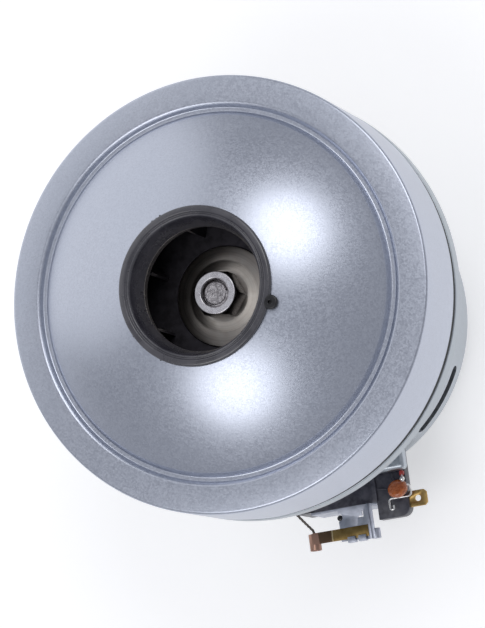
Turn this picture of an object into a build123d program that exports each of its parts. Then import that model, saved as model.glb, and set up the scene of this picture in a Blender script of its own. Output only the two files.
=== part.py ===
from build123d import *
import math
import os

# Vacuum motor unit: a two-pole brushed motor with a single-stage suction fan.
# Lengths are in millimetres and angles in degrees.
# Z runs along the shaft towards the air inlet. The end of the rear bearing boss lies on Z = 0,
# and the two brush gears stand out along -Y and +Y.

os.makedirs("parts", exist_ok=True)

# Clearances and shared values
seat_gap = 0.05
slide_gap = 0.15
run_gap = 0.6
overrun = 1.0
screw_slot_share = 0.25
screw_slot_depth_share = 0.4

# Shaft and the pieces clamped on it
shaft_radius = 4.0
shaft_chamfer = 0.5
shaft_end_gap = 0.3
sleeve_radius = 6.0
nut_across_flats = 13.0
nut_height = 8.0
nut_chamfer = 0.7
nut_thread_gap = 0.2
nut_turn = -8.0
shaft_tip_drop = 0.3
clamp_disc_radius = 15.7
clamp_disc_edge = 0.7
clamp_disc_hub_radius = 8.6
clamp_disc_height = 1.7
back_washer_radius = 12.0
back_washer_height = 1.5

# Ball bearings
bearing_radius = 11.0
bearing_width = 7.0
bearing_pitch_radius = 7.55
bearing_inner_shoulder = 6.0
bearing_outer_shoulder = 9.1
bearing_chamfer = 0.4
ball_radius = 1.98
ball_gap = 0.12
ball_count = 7
cage_half_band = 0.6
cage_back = 0.45
shield_wall = 0.3
shield_inset = 0.2

# Motor can
can_inset = 14.8
can_wall = 1.2
can_length = 65.3
can_corner = 2.8
can_flange_gap = 4.3
can_bend = 1.5
boss_floor = 1.2
boss_height = 10.0
boss_bend = 1.0
boss_corner = 0.4
boss_vent_radius = 3.0
side_slot_width = 4.0
side_slot_height = 9.6
side_slot_start = 25.0
side_slot_end = 52.0
rear_vent_inner = 24.0
rear_vent_edge = 12.7
rear_vent_half_angle = 9.0
rear_vent_count = 8
flange_screw_edge = 3.8
flange_screw_radius = 2.0
flange_screw_head = 3.6
flange_screw_head_height = 2.6
flange_screw_round = 0.85
flange_screw_count = 4

# Seat pressed out of the can beside each brush holder
can_seat_left = 12.0
can_seat_right = 30.4
can_seat_reach = 1.4
can_seat_gap = 1.3
can_seat_height = 4.2
can_seat_round = 1.5

# Rear preload washer
preload_height = 1.0
preload_wall = 0.3
preload_inner = 8.6
preload_outer = 10.5

# Armature
rear_spacer_length = 3.8
commutator_length = 18.0
commutator_radius = 12.5
commutator_bar_depth = 3.0
commutator_bar_gap_share = 0.1
commutator_end_margin = 0.6
riser_height = 1.6
riser_radius = 14.0
rear_sleeve_length = 6.2
insulator_wall = 0.8
core_end_room = 37.3
core_radius_share = 0.4191
core_slot_count = 22
core_slot_width = 2.6
core_slot_bottom = 11.0
core_slot_mouth = 1.1
core_tooth_lip = 1.0
winding_gap = 0.15
winding_inner = 6.6
winding_edge = 1.2
winding_front_height = 7.0
winding_rear_height = 5.4
winding_round = 2.6

# Field
air_gap = 0.5
stator_clearance = 0.2
stator_flat_share = 0.858
pole_tip_share = 0.0975
pole_tip_angle = 78.0
window_start_angle = 38.0
yoke_share = 0.1754
coil_gap = 0.5
coil_end_height = 6.4
coil_round_share = 0.11

# Front bracket
bracket_wall = 1.2
bracket_skirt = 3.3
bracket_spigot_height = 5.5
bracket_spigot_gap = 0.3
front_boss_rise = 11.9
front_boss_lip = 9.2
bracket_vent_inner = 28.0
bracket_vent_edge = 3.7
bracket_vent_half_angle = 32.0
bracket_vent_count = 4

# Fan cover
cover_radius = 67.5
cover_wall = 0.8
cover_side = 27.6
cover_corner = 1.6
cover_rim_rise = 1.3
groove_edge = 8.9
groove_width = 3.7
groove_floor_half = 0.65
groove_depth = 1.5
groove_round = 0.6
groove_inner_step = 0.5
dome_rise = 15.4
dome_bulge = 2.0
eye_hole_radius = 22.2
gasket_height = 0.9
gasket_recess = 0.4

# Inlet seal
seal_radius = 24.4
seal_throat_radius = 19.0
seal_crest_radius = 21.7
seal_lip_rise = 1.8
seal_depth = 8.4
seal_neck_gap = 0.2
seal_under_lip = 1.6
seal_under_height = 1.2
seal_under_gap = 0.15
seal_round = 1.0
seal_ear_angle = -22.0
seal_ear_radius = 1.9
seal_ear_offset = 1.0
seal_ear_hole = 0.55
seal_ear_height = 3.0

# Impeller
fan_edge_gap = 11.5
fan_wall = 0.8
fan_cover_gap = 1.4
fan_exit_height = 5.3
fan_plate_wall = 1.0
fan_eye_radius = 20.0
fan_eye_collar = 4.5
fan_eye_bend = 4.0
fan_mid_inset = 15.0
fan_mid_rise = 6.0
fan_mid_bend = 60.0
blade_count = 7
blade_wall = 0.9
blade_inner = 19.0
blade_inset = 1.0
blade_sweep = 52.0
blade_lag_share = 0.9

# Diffuser
diffuser_gap = 2.3
diffuser_plate = 2.2
diffuser_hub_gap = 1.5
diffuser_edge_gap = 7.5
diffuser_vane_wall = 1.5
diffuser_vane_inner = 24.0
diffuser_vane_count = 12
diffuser_vane_sweep = 50.0
diffuser_outer_vane_root = 2.6
diffuser_outer_vane_gap = 0.4
diffuser_outer_vane_sweep = 9.0
diffuser_boss_radius = 3.4
diffuser_screw_circle = 18.5
diffuser_screw_count = 3
diffuser_screw_radius = 1.4
diffuser_screw_head = 2.6
diffuser_screw_head_height = 1.6
diffuser_screw_reach = 1.0

# Carbon brushes and their tubes, measured on the gear that stands out along -Y
brush_width = 6.4
brush_height = 11.0
brush_level = 9.0
brush_contact_gap = 0.2
brush_spring_length = 17.5
tube_wall = 0.6
tube_root_gap = 3.5
spring_wire = 0.3
spring_radius = 2.5
spring_turns = 9
spring_end_gap = 0.15
spring_points_per_turn = 24
shunt_radius = 0.6

# Brush holders
holder_reach = 9.8
holder_housing_half_width = 9.5
holder_right = 28.5
holder_plate_height = 4.3
holder_below = 8.0
holder_above = 7.0
holder_window_gap = 0.4
holder_neck_wall = 0.7
holder_neck_depth = 6.0
holder_ear_height = 7.5
holder_ear_half_width = 9.0
holder_ear_wall = 2.6
holder_screw_offset = 6.0
holder_screw_drop = 3.4
holder_screw_radius = 1.5
holder_screw_head = 2.7
holder_screw_head_height = 1.6
holder_ridge_left = 16.6
holder_ridge_width = 1.8
holder_ridge_height = 1.2
terminal_box_left = 17.9
terminal_box_reach = 15.75
terminal_box_round = 3.0

# Terminal tabs
tab_width = 5.2
tab_from_face = 0.9
tab_wall = 0.8
tab_length = 5.9
tab_inside = 1.2
tab_corner = 0.9
tab_hole_radius = 1.0
tab_hole_from_end = 3.1
tab_depth = 1.2
tab_slot_gap = 0.05

# Steel brush brackets
clip_wall = 0.8
clip_left = -5.0
clip_face_left = 4.1
clip_right = 15.6
clip_post_width = 2.6
clip_reach = 11.4
clip_face_reach = 10.9
clip_notch_radius = 1.3
clip_notch_from_root = 2.9
clip_hook_left = 10.7
clip_hook_width = 1.9
clip_hook_height = 2.2
clip_hook_line = 0.45
clip_hook_from_root = 1.7
clip_foot_radius = 1.5
clip_foot_length = 3.2
clip_tab_width = 2.6
clip_tab_places = [6.7, 10.3]
clip_tab_lip = 1.1
clip_rib_height = 0.5
clip_rib_width = 0.8

# Crimped contact strips
strip_wall = 0.5
strip_width = 3.7
strip_left = -3.4
strip_from_root = 6.7
strip_end_gap = 0.1
barrel_radius = 1.9
barrel_wall = 0.45
barrel_length = 5.4
barrel_overhang = 1.0

# Field leads, from the crimped barrels into the can
lead_radius = 0.55
lead_hole_radius = 1.4
lead_rise = 1.6
lead_outside = 4.0
lead_sag = 2.6
lead_way_share = 0.35
lead_bends = [1.8, 4.0, 3.0]

# Suppression capacitors and their leads
capacitor_radius = 3.3
capacitor_thickness = 3.0
capacitor_round = 1.3
capacitor_lean = -30.0
capacitor_x = 26.4
capacitor_from_face = 2.6
capacitor_lift = 3.3
capacitor_wire = 0.3
live_side = 2.4
live_start_back = 0.9
live_start_drop = 0.5
live_out = 3.65
live_drop = 2.5
live_reach = 4.2
live_curl_length = 3.5
live_curl_width = 1.3
live_bends = [0.8, 1.6, 0.8, 0.6, 0.6]
earth_side = 1.9
earth_rise = 0.5
earth_drop = 0.9
earth_bend = 0.4
earth_sleeve_radius = 0.85
earth_sleeve_share = 0.25
earth_sleeve_end_share = 0.22

# Radii that follow the fan cover's
can_radius = cover_radius - can_inset
can_inner = can_radius - can_wall
stator_radius = can_inner - stator_clearance
core_radius = stator_radius * core_radius_share
winding_outer = core_radius - winding_edge
can_flange_radius = cover_radius - bracket_wall - can_flange_gap
flange_screw_circle = can_flange_radius - flange_screw_edge
rear_vent_outer = can_radius - rear_vent_edge
bracket_vent_outer = can_radius - bracket_vent_edge
groove_outer = cover_radius - groove_edge
groove_inner = groove_outer - groove_width
fan_radius = cover_radius - fan_edge_gap
fan_mid_radius = fan_radius - fan_mid_inset
blade_outer = fan_radius - blade_inset
diffuser_plate_radius = cover_radius - diffuser_edge_gap
diffuser_outer_vane_inner = diffuser_plate_radius - diffuser_outer_vane_root

# Levels along the shaft, from the rear boss to the inlet
can_floor_level = boss_height
rear_bearing_level = boss_floor + preload_height
commutator_level = rear_bearing_level + bearing_width + rear_spacer_length
rear_insulator_level = commutator_level + commutator_length + rear_sleeve_length
core_level = rear_insulator_level + insulator_wall
core_length = can_length - core_end_room
core_top_level = core_level + core_length
front_insulator_top = core_top_level + insulator_wall
flange_level = can_floor_level + can_length
plate_level = flange_level + bracket_wall
gasket_top = plate_level + gasket_height
rim_level = gasket_top + cover_side
front_boss_top = flange_level + front_boss_rise
front_bearing_level = front_boss_top - bracket_wall - bearing_width
groove_shoulder_level = rim_level + cover_rim_rise
groove_floor_level = groove_shoulder_level - groove_depth
dome_foot_level = groove_shoulder_level + groove_inner_step
dome_top_level = dome_foot_level + dome_rise
seal_top_level = dome_top_level + seal_lip_rise
seal_bottom_level = seal_top_level - seal_depth
shroud_edge_level = groove_floor_level - cover_wall - fan_cover_gap
fan_plate_top = shroud_edge_level - fan_wall - fan_exit_height
fan_plate_bottom = fan_plate_top - fan_plate_wall
back_washer_bottom = fan_plate_bottom - back_washer_height
clamp_disc_top = fan_plate_top + clamp_disc_height
nut_top = clamp_disc_top + nut_height
shaft_top = nut_top - shaft_tip_drop
diffuser_top = fan_plate_bottom - diffuser_gap
diffuser_bottom = diffuser_top - diffuser_plate
shroud_eye_level = seal_bottom_level - run_gap

# Levels and places of the brush gear
brush_centre = commutator_level + brush_level
holder_low = brush_centre - holder_below
holder_high = brush_centre + holder_above
holder_face = -(can_radius + holder_reach)
terminal_box_face = -(can_radius + terminal_box_reach)
holder_plate_low = holder_high - holder_plate_height
tube_end = holder_face
brush_tip = -(commutator_radius + brush_contact_gap)
brush_back = tube_end + brush_spring_length
can_seat_low = holder_high + can_seat_gap
clip_top = holder_high - clip_wall / 2
clip_bottom = clip_top - clip_wall


def block(x_span, y_span, z_span):
    """A box between two corners."""
    spans = [x_span, y_span, z_span]
    sizes = [max(span) - min(span) for span in spans]
    middles = [(span[0] + span[1]) / 2 for span in spans]
    return Pos(*middles) * Box(*sizes)


def disc(radius, low, high):
    """A round solid on the shaft line."""
    return Pos(0, 0, (low + high) / 2) * Cylinder(radius, high - low)


def side_disc(circle, radius, low, high):
    """A round solid beside the shaft and parallel to it."""
    return Pos(circle, 0, 0) * disc(radius, low, high)


def ring(outer, inner, low, high):
    """A tube on the shaft line, its cut left flush with both ends."""
    return disc(outer, low, high) - disc(inner, low - overrun, high + overrun)


def turned(points):
    """A solid of revolution about the shaft from a closed outline of radius and level."""
    outline = Polyline(*points, close=True)
    return revolve(Plane.XZ * make_face(outline), axis=Axis.Z)


def offset_points(points, wall):
    """An open outline moved to its left by a wall."""
    shifted = []
    normals = []
    for (x0, y0), (x1, y1) in zip(points, points[1:]):
        length = math.hypot(x1 - x0, y1 - y0)
        normals.append(((y0 - y1) / length, (x1 - x0) / length))
    for index, (x, y) in enumerate(points):
        before = normals[max(index - 1, 0)]
        after = normals[min(index, len(normals) - 1)]
        along = 1 + before[0] * after[0] + before[1] * after[1]
        shifted.append((
            x + wall * (before[0] + after[0]) / along,
            y + wall * (before[1] + after[1]) / along,
        ))
    return shifted


def sheet_section(points, bends, wall):
    """Section of a pressed sheet: one skin's outline, its wall on the left, and its inside bend radii."""
    near_bends = []
    far_bends = []
    for index, bend in enumerate(bends):
        (x0, y0), (x1, y1), (x2, y2) = points[index:index + 3]
        turns_left = (x1 - x0) * (y2 - y1) - (y1 - y0) * (x2 - x1) > 0
        near_bends.append(bend + wall if turns_left else bend)
        far_bends.append(bend if turns_left else bend + wall)
    near = FilletPolyline(*points, radius=near_bends)
    far = FilletPolyline(*offset_points(points, wall), radius=far_bends)
    ends = [Line(near @ 0, far @ 0), Line(near @ 1, far @ 1)]
    return make_face(list(near.edges()) + list(far.edges()) + [end.edge() for end in ends])


def sheet(points, bends, wall):
    """A pressed sheet turned about the shaft."""
    return revolve(Plane.XZ * sheet_section(points, bends, wall), axis=Axis.Z)


def sector(outer, inner, low, high, start, end):
    """Part of a tube between two angles."""
    outline = Polyline((inner, low), (outer, low), (outer, high), (inner, high), close=True)
    piece = revolve(Plane.XZ * make_face(outline), axis=Axis.Z, revolution_arc=end - start)
    return Rot(0, 0, start) * piece


def around(shape, count, start=0.0):
    """Copies of a shape, evenly turned about the shaft."""
    return [Rot(0, 0, start + 360 * index / count) * shape for index in range(count)]


def rod(radius, start, end):
    """A straight round bar between two points."""
    line = Line(start, end)
    profile = Plane(origin=start, z_dir=line % 0) * Circle(radius)
    return sweep(profile, path=line)


def wire(points, bends, radius):
    """A round wire along straight runs joined by arcs."""
    path = FilletPolyline(*points, radius=bends)
    profile = Plane(origin=path @ 0, z_dir=path % 0) * Circle(radius)
    return sweep(profile, path=path)


def polar(radius, angle):
    """The point at a radius and an angle about the shaft."""
    return (radius * math.cos(math.radians(angle)), radius * math.sin(math.radians(angle)))


def as_solids(shape):
    """The solids of a shape or of a list of shapes."""
    if isinstance(shape, (list, tuple)):
        return [solid for item in shape for solid in as_solids(item)]
    return list(shape.solids())


def keep(name, shape):
    """Write one named piece, or one group of like pieces."""
    solids = as_solids(shape)
    made = solids[0] if len(solids) == 1 else Compound(children=solids)
    made.label = name
    export_step(made, f"parts/{name}.step")


# Ball bearings

def bearing(low):
    """The rings, shields, cage and balls of one bearing whose lower face is at a level."""
    high = low + bearing_width
    middle = (low + high) / 2
    track = Pos(0, 0, middle) * Torus(bearing_pitch_radius, ball_radius + ball_gap)
    bore = shaft_radius + seat_gap
    inner = ring(bearing_inner_shoulder, bore, low, high) - track
    outer = ring(bearing_radius, bearing_outer_shoulder, low, high) - track
    circles = outer.edges().filter_by(GeomType.CIRCLE)
    rims = circles.filter_by(lambda edge: edge.radius > bearing_radius - seat_gap)
    outer = chamfer(rims, bearing_chamfer)
    shield_outer = bearing_outer_shoulder - seat_gap
    shield_inner = bearing_inner_shoulder + slide_gap
    shields = []
    for level in (low + shield_inset, high - shield_inset - shield_wall):
        shields.append(ring(shield_outer, shield_inner, level, level + shield_wall))
    ball = Pos(bearing_pitch_radius, 0, middle) * Sphere(ball_radius)
    balls = around(ball, ball_count)
    cage_half_width = (bearing_outer_shoulder - bearing_inner_shoulder) / 2 - 2 * ball_gap - seat_gap
    cage_high = middle + ball_radius + ball_gap + cage_back
    cage = ring(
        bearing_pitch_radius + cage_half_width,
        bearing_pitch_radius - cage_half_width,
        middle - cage_half_band,
        cage_high,
    )
    pocket = Pos(bearing_pitch_radius, 0, middle) * Sphere(ball_radius + ball_gap)
    for opening in around(pocket, ball_count):
        cage -= opening
    return inner, outer, shields, cage, balls


front_inner, front_outer, front_shields, front_cage, front_balls = bearing(front_bearing_level)
rear_inner, rear_outer, rear_shields, rear_cage, rear_balls = bearing(rear_bearing_level)
keep("front_bearing_inner_ring", front_inner)
keep("front_bearing_outer_ring", front_outer)
keep("front_bearing_cage", front_cage)
keep("front_bearing_balls", front_balls)
keep("rear_bearing_inner_ring", rear_inner)
keep("rear_bearing_outer_ring", rear_outer)
keep("rear_bearing_cage", rear_cage)
keep("rear_bearing_balls", rear_balls)
keep("bearing_shields", front_shields + rear_shields)


# Shaft and the pieces on it

def shaft():
    solid = disc(shaft_radius, boss_floor + shaft_end_gap, shaft_top)
    ends = solid.edges().filter_by(GeomType.CIRCLE)
    return chamfer(ends, shaft_chamfer)


def shaft_nut():
    hexagon = extrude(RegularPolygon(nut_across_flats / 2, 6, major_radius=False), nut_height)
    corner = nut_across_flats / math.sqrt(3)
    waist = [
        (0, 0),
        (corner - nut_chamfer, 0),
        (corner, nut_chamfer),
        (corner, nut_height - nut_chamfer),
        (corner - 2 * nut_chamfer, nut_height),
        (0, nut_height),
    ]
    body = Pos(0, 0, clamp_disc_top) * (Rot(0, 0, nut_turn) * hexagon & turned(waist))
    return body - disc(shaft_radius + nut_thread_gap, clamp_disc_top - overrun, nut_top + overrun)


def clamp_disc():
    bore = shaft_radius + seat_gap
    return turned([
        (bore, fan_plate_top),
        (clamp_disc_radius, fan_plate_top),
        (clamp_disc_radius, fan_plate_top + clamp_disc_edge),
        (clamp_disc_hub_radius, clamp_disc_top),
        (bore, clamp_disc_top),
    ])


def preload_washer():
    return turned([
        (preload_outer, boss_floor),
        (preload_outer, boss_floor + preload_wall),
        (preload_inner, rear_bearing_level),
        (preload_inner, rear_bearing_level - preload_wall),
    ])


sleeve_bore = shaft_radius + seat_gap
rear_sleeve_bottom = commutator_level + commutator_length
keep("shaft", shaft())
keep("shaft_nut", shaft_nut())
keep("clamp_disc", clamp_disc())
keep("back_washer", ring(back_washer_radius, sleeve_bore, back_washer_bottom, fan_plate_bottom))
front_bearing_top = front_bearing_level + bearing_width
keep("fan_spacer", ring(sleeve_radius, sleeve_bore, front_bearing_top, back_washer_bottom))
keep("rear_spacer", ring(sleeve_radius, sleeve_bore, rear_bearing_level + bearing_width, commutator_level))
keep("shaft_sleeves", [
    ring(sleeve_radius, sleeve_bore, rear_sleeve_bottom, rear_insulator_level),
    ring(sleeve_radius, sleeve_bore, front_insulator_top, front_bearing_level),
])
keep("preload_washer", preload_washer())


# Armature

def slot_outline(width_trim):
    """One armature slot: a straight well and a narrow mouth at the rim."""
    well_top = core_radius - core_tooth_lip
    well_length = well_top - core_slot_bottom
    well = Pos(core_slot_bottom + well_length / 2, 0) * Rectangle(well_length, core_slot_width - width_trim)
    mouth = Pos(core_radius, 0) * Rectangle(2 * core_tooth_lip + overrun, core_slot_mouth)
    return well, mouth


def lamination():
    face = Circle(core_radius) - Circle(shaft_radius + seat_gap)
    well, mouth = slot_outline(0.0)
    for index in range(core_slot_count):
        turn = Rot(0, 0, 360 * index / core_slot_count)
        face -= turn * well
        face -= turn * mouth
    return face


def end_winding(low, high, rounding):
    solid = ring(winding_outer, winding_inner, low, high)
    return fillet(solid.edges().filter_by(GeomType.CIRCLE), rounding)


def armature_winding():
    rear = end_winding(rear_insulator_level - winding_rear_height, rear_insulator_level, winding_round)
    front = end_winding(front_insulator_top, front_insulator_top + winding_front_height, winding_round)
    inner = core_slot_bottom + winding_gap
    outer = core_radius - core_tooth_lip - 2 * winding_gap
    half = core_slot_width / 2 - winding_gap
    low = rear_insulator_level - winding_round
    high = front_insulator_top + winding_round
    bars = around(block((inner, outer), (-half, half), (low, high)), core_slot_count)
    return rear + front + bars


def commutator_parts():
    low = commutator_level + commutator_end_margin
    high = commutator_level + commutator_length - commutator_end_margin
    inner = commutator_radius - commutator_bar_depth
    step = 360 / core_slot_count
    half = step * (1 - commutator_bar_gap_share) / 2
    bar = sector(commutator_radius, inner + seat_gap, low, high, -half, half)
    bar += sector(riser_radius, commutator_radius - overrun, high - riser_height, high, -half, half)
    hub = ring(inner, shaft_radius + seat_gap, commutator_level, commutator_level + commutator_length)
    return around(bar, core_slot_count), hub


core_section = lamination()
commutator_bars, commutator_hub = commutator_parts()
keep("armature_core", extrude(Pos(0, 0, core_level) * core_section, core_length))
keep("armature_insulators", [
    extrude(Pos(0, 0, rear_insulator_level) * core_section, insulator_wall),
    extrude(Pos(0, 0, core_top_level) * core_section, insulator_wall),
])
keep("armature_winding", armature_winding())
keep("commutator_bars", commutator_bars)
keep("commutator_hub", commutator_hub)


# Field core and coils

pole_bore = core_radius + air_gap
pole_tip_radius = pole_bore + stator_radius * pole_tip_share
window_outer = stator_radius * (1 - yoke_share)


def stator_core():
    low, high = core_level, core_top_level
    body = disc(stator_radius, low, high)
    flat = stator_radius * stator_flat_share
    body &= block((-stator_radius, stator_radius), (-flat, flat), (low, high))
    body -= disc(pole_bore, low - overrun, high + overrun)
    for turn in (0, 180):
        start, end = window_start_angle, 180 - window_start_angle
        window = sector(window_outer, pole_tip_radius, low - overrun, high + overrun, start, end)
        mouth = sector(
            pole_tip_radius + overrun, pole_bore - overrun, low - overrun, high + overrun,
            pole_tip_angle, 180 - pole_tip_angle,
        )
        body -= Rot(0, 0, turn) * window
        body -= Rot(0, 0, turn) * mouth
    return body


def field_coil(turn):
    """A coil around one pole: two sides in the windows and an arched turn over each end."""
    outer = window_outer - coil_gap
    inner = pole_tip_radius + coil_gap
    rounding = (outer - inner) * coil_round_share
    angle_gap = math.degrees(coil_gap / inner)
    near = window_start_angle + angle_gap
    far = 90 - angle_gap
    rear = rear_insulator_level
    front = front_insulator_top
    coil = sector(outer, inner, rear - coil_end_height, rear, -far, far)
    coil += sector(outer, inner, front, front + coil_end_height, -far, far)
    for start in (near, -far):
        coil += sector(outer, inner, rear - rounding, front + rounding, start, start + far - near)
    ends = [edge for edge in coil.edges() if edge.center().Z < rear - coil_end_height + seat_gap
            or edge.center().Z > front + coil_end_height - seat_gap]
    coil = fillet(ends, rounding)
    return Rot(0, 0, turn) * coil


def coil_cheek(turn, low):
    """The insulating cheek between a coil's end turn and the core."""
    outer = window_outer + coil_gap
    inner = pole_tip_radius - coil_gap
    far = 90 - math.degrees(coil_gap / pole_tip_radius)
    near = window_start_angle
    return Rot(0, 0, turn) * sector(outer, inner, low, low + insulator_wall, -near, near)


keep("stator_core", stator_core())
keep("field_coil_right", field_coil(0))
keep("field_coil_left", field_coil(180))
keep("coil_cheeks", [
    coil_cheek(turn, level) for turn in (0, 180) for level in (rear_insulator_level, core_top_level)
])


# Motor can, front bracket and their screws

flange_bottom = flange_level - can_wall
diffuser_screw_start = 180 / diffuser_screw_count
flange_screw_start = 180 / flange_screw_count
tube_half_width = brush_width / 2 + slide_gap + tube_wall
tube_half_height = brush_height / 2 + slide_gap + tube_wall
neck_half_width = tube_half_width + holder_neck_wall
neck_half_height = tube_half_height + holder_neck_wall
ear_high = holder_high + holder_ear_height
screw_level = ear_high - holder_screw_drop
lead_hole_x = -(holder_ear_half_width + holder_ear_wall + lead_hole_radius)
lead_hole_level = holder_high + holder_ear_height / 2


def round_slot(radius, width, level, start, end):
    """The cutter for a round-ended slot that runs around a wall."""
    half = width / 2
    reach = can_wall + 2 * overrun
    inner = radius - can_wall - overrun
    end_angle = math.degrees(half / radius)
    body = sector(inner + reach, inner, level - half, level + half, start + end_angle, end - end_angle)
    for angle in (start + end_angle, end - end_angle):
        x_start, y_start = polar(inner, angle)
        x_end, y_end = polar(inner + reach, angle)
        body += rod(half, (x_start, y_start, level), (x_end, y_end, level))
    return body


def brush_window():
    """The cutter for the opening that one brush holder's neck passes through."""
    half = neck_half_width + holder_window_gap
    rise = neck_half_height + holder_window_gap
    return block(
        (-half, half),
        (-can_radius - overrun, -can_inner + holder_neck_depth),
        (brush_centre - rise, brush_centre + rise),
    )


def can_seat(trim):
    """The flat seat pressed out of the can's wall, its skin moved inwards by a trim."""
    solid = block(
        (can_seat_left + trim, can_seat_right - trim),
        (-can_radius - can_seat_reach + trim, -can_radius / 2),
        (can_seat_low + trim, can_seat_low + can_seat_height - trim),
    )
    outer_edges = [edge for edge in solid.edges() if edge.center().Y < -can_radius / 2 - overrun]
    return fillet(outer_edges, can_seat_round - trim)


def motor_can():
    body = sheet(
        [
            (0, 0),
            (bearing_radius + can_wall, 0),
            (bearing_radius + can_wall, can_floor_level),
            (can_radius, can_floor_level),
            (can_radius, flange_bottom),
            (can_flange_radius, flange_bottom),
        ],
        [boss_corner, boss_bend, can_corner, can_bend],
        can_wall,
    )
    body -= disc(boss_vent_radius, -overrun, boss_floor + overrun)
    for turn in (0, 180):
        body += Rot(0, 0, turn) * (can_seat(0) - disc(can_inner, 0, flange_level))
        body -= Rot(0, 0, turn) * can_seat(can_wall)
    level = can_floor_level + side_slot_height
    for middle in (0, 180):
        for start, end in ((-side_slot_end, -side_slot_start), (side_slot_start, side_slot_end)):
            body -= Rot(0, 0, middle) * round_slot(can_radius, side_slot_width, level, start, end)
    vent = sector(
        rear_vent_outer, rear_vent_inner, can_floor_level - overrun, can_floor_level + can_wall + overrun,
        -rear_vent_half_angle, rear_vent_half_angle,
    )
    for opening in around(vent, rear_vent_count, 180 / rear_vent_count):
        body -= opening
    screw_hole = flange_screw_radius + seat_gap
    hole = side_disc(flange_screw_circle, screw_hole, flange_bottom - overrun, flange_level + overrun)
    for opening in around(hole, flange_screw_count, flange_screw_start):
        body -= opening
    for turn in (0, 180):
        body -= Rot(0, 0, turn) * brush_window()
        for x in (-holder_screw_offset, holder_screw_offset):
            outside = (x, -can_radius - overrun, screw_level)
            inside = (x, -can_inner + 2 * overrun, screw_level)
            body -= Rot(0, 0, turn) * rod(holder_screw_radius + seat_gap, outside, inside)
        outside = (lead_hole_x, -can_radius, lead_hole_level)
        inside = (lead_hole_x, -can_inner + holder_neck_depth, lead_hole_level)
        body -= Rot(0, 0, turn) * rod(lead_hole_radius, outside, inside)
    return body


def front_bracket():
    boss_outer = bearing_radius + bracket_wall
    spigot = cover_radius - cover_wall - bracket_spigot_gap
    body = ring(cover_radius, front_boss_lip, flange_level, plate_level)
    body += ring(cover_radius, cover_radius - bracket_wall, flange_level - bracket_skirt, plate_level)
    body += ring(spigot, spigot - bracket_wall, flange_level, plate_level + bracket_spigot_height)
    body += ring(boss_outer, front_boss_lip, flange_level, front_boss_top)
    body -= disc(bearing_radius + seat_gap / 2, flange_level - overrun, front_boss_top - bracket_wall)
    vent = sector(
        bracket_vent_outer, bracket_vent_inner, flange_level - overrun, plate_level + overrun,
        -bracket_vent_half_angle, bracket_vent_half_angle,
    )
    for opening in around(vent, bracket_vent_count):
        body -= opening
    low, high = flange_level - overrun, plate_level + overrun
    hole = side_disc(flange_screw_circle, flange_screw_radius + seat_gap, low, high)
    for opening in around(hole, flange_screw_count, flange_screw_start):
        body -= opening
    hole = side_disc(diffuser_screw_circle, diffuser_screw_radius + seat_gap, low, high)
    for opening in around(hole, diffuser_screw_count, diffuser_screw_start):
        body -= opening
    return body


def flange_screw():
    head_low = flange_bottom - flange_screw_head_height
    head = disc(flange_screw_head, head_low, flange_bottom)
    head = fillet(head.edges().group_by(Axis.Z)[0], flange_screw_round)
    half = flange_screw_head * screw_slot_share / 2
    slot_end = head_low + flange_screw_head_height * screw_slot_depth_share
    slot = block((-flange_screw_head, flange_screw_head), (-half, half), (head_low - overrun, slot_end))
    shank = disc(flange_screw_radius, flange_bottom - seat_gap, plate_level)
    return Pos(flange_screw_circle, 0, 0) * (head - slot + shank)


keep("motor_can", motor_can())
keep("front_bracket", front_bracket())
keep("flange_screws", around(flange_screw(), flange_screw_count, flange_screw_start))


# Fan cover, gasket and inlet seal

dome_foot = (groove_inner, dome_foot_level)
dome_edge = (eye_hole_radius, dome_top_level)


def dome_corner():
    """The tangent corner and the radius of the arc that gives the dome its bulge."""
    run = dome_foot[0] - dome_edge[0]
    rise = dome_edge[1] - dome_foot[1]
    chord = math.hypot(run, rise)
    half_turn = 2 * math.atan(2 * dome_bulge / chord)
    height = chord / 2 * math.tan(half_turn)
    middle = ((dome_foot[0] + dome_edge[0]) / 2, (dome_foot[1] + dome_edge[1]) / 2)
    corner = (middle[0] + height * rise / chord, middle[1] + height * run / chord)
    tangent = chord / 2 / math.cos(half_turn)
    bend = tangent / math.tan(half_turn) * (1 - dome_bulge / chord)
    return corner, bend


dome_tip, dome_bend = dome_corner()
groove_middle = (groove_outer + groove_inner) / 2


def fan_cover():
    return sheet(
        [
            (cover_radius, gasket_top),
            (cover_radius, rim_level),
            (groove_outer, groove_shoulder_level),
            (groove_middle + groove_floor_half, groove_floor_level),
            (groove_middle - groove_floor_half, groove_floor_level),
            dome_foot,
            dome_tip,
            dome_edge,
        ],
        [cover_corner, groove_round, groove_round, groove_round, groove_round, dome_bend],
        cover_wall,
    )


def dome_level(radius):
    """The level of the dome's outer skin near the eye, taken along its last straight run."""
    slope = (dome_edge[1] - dome_tip[1]) / (dome_tip[0] - dome_edge[0])
    return dome_edge[1] - slope * (radius - dome_edge[0])


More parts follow.
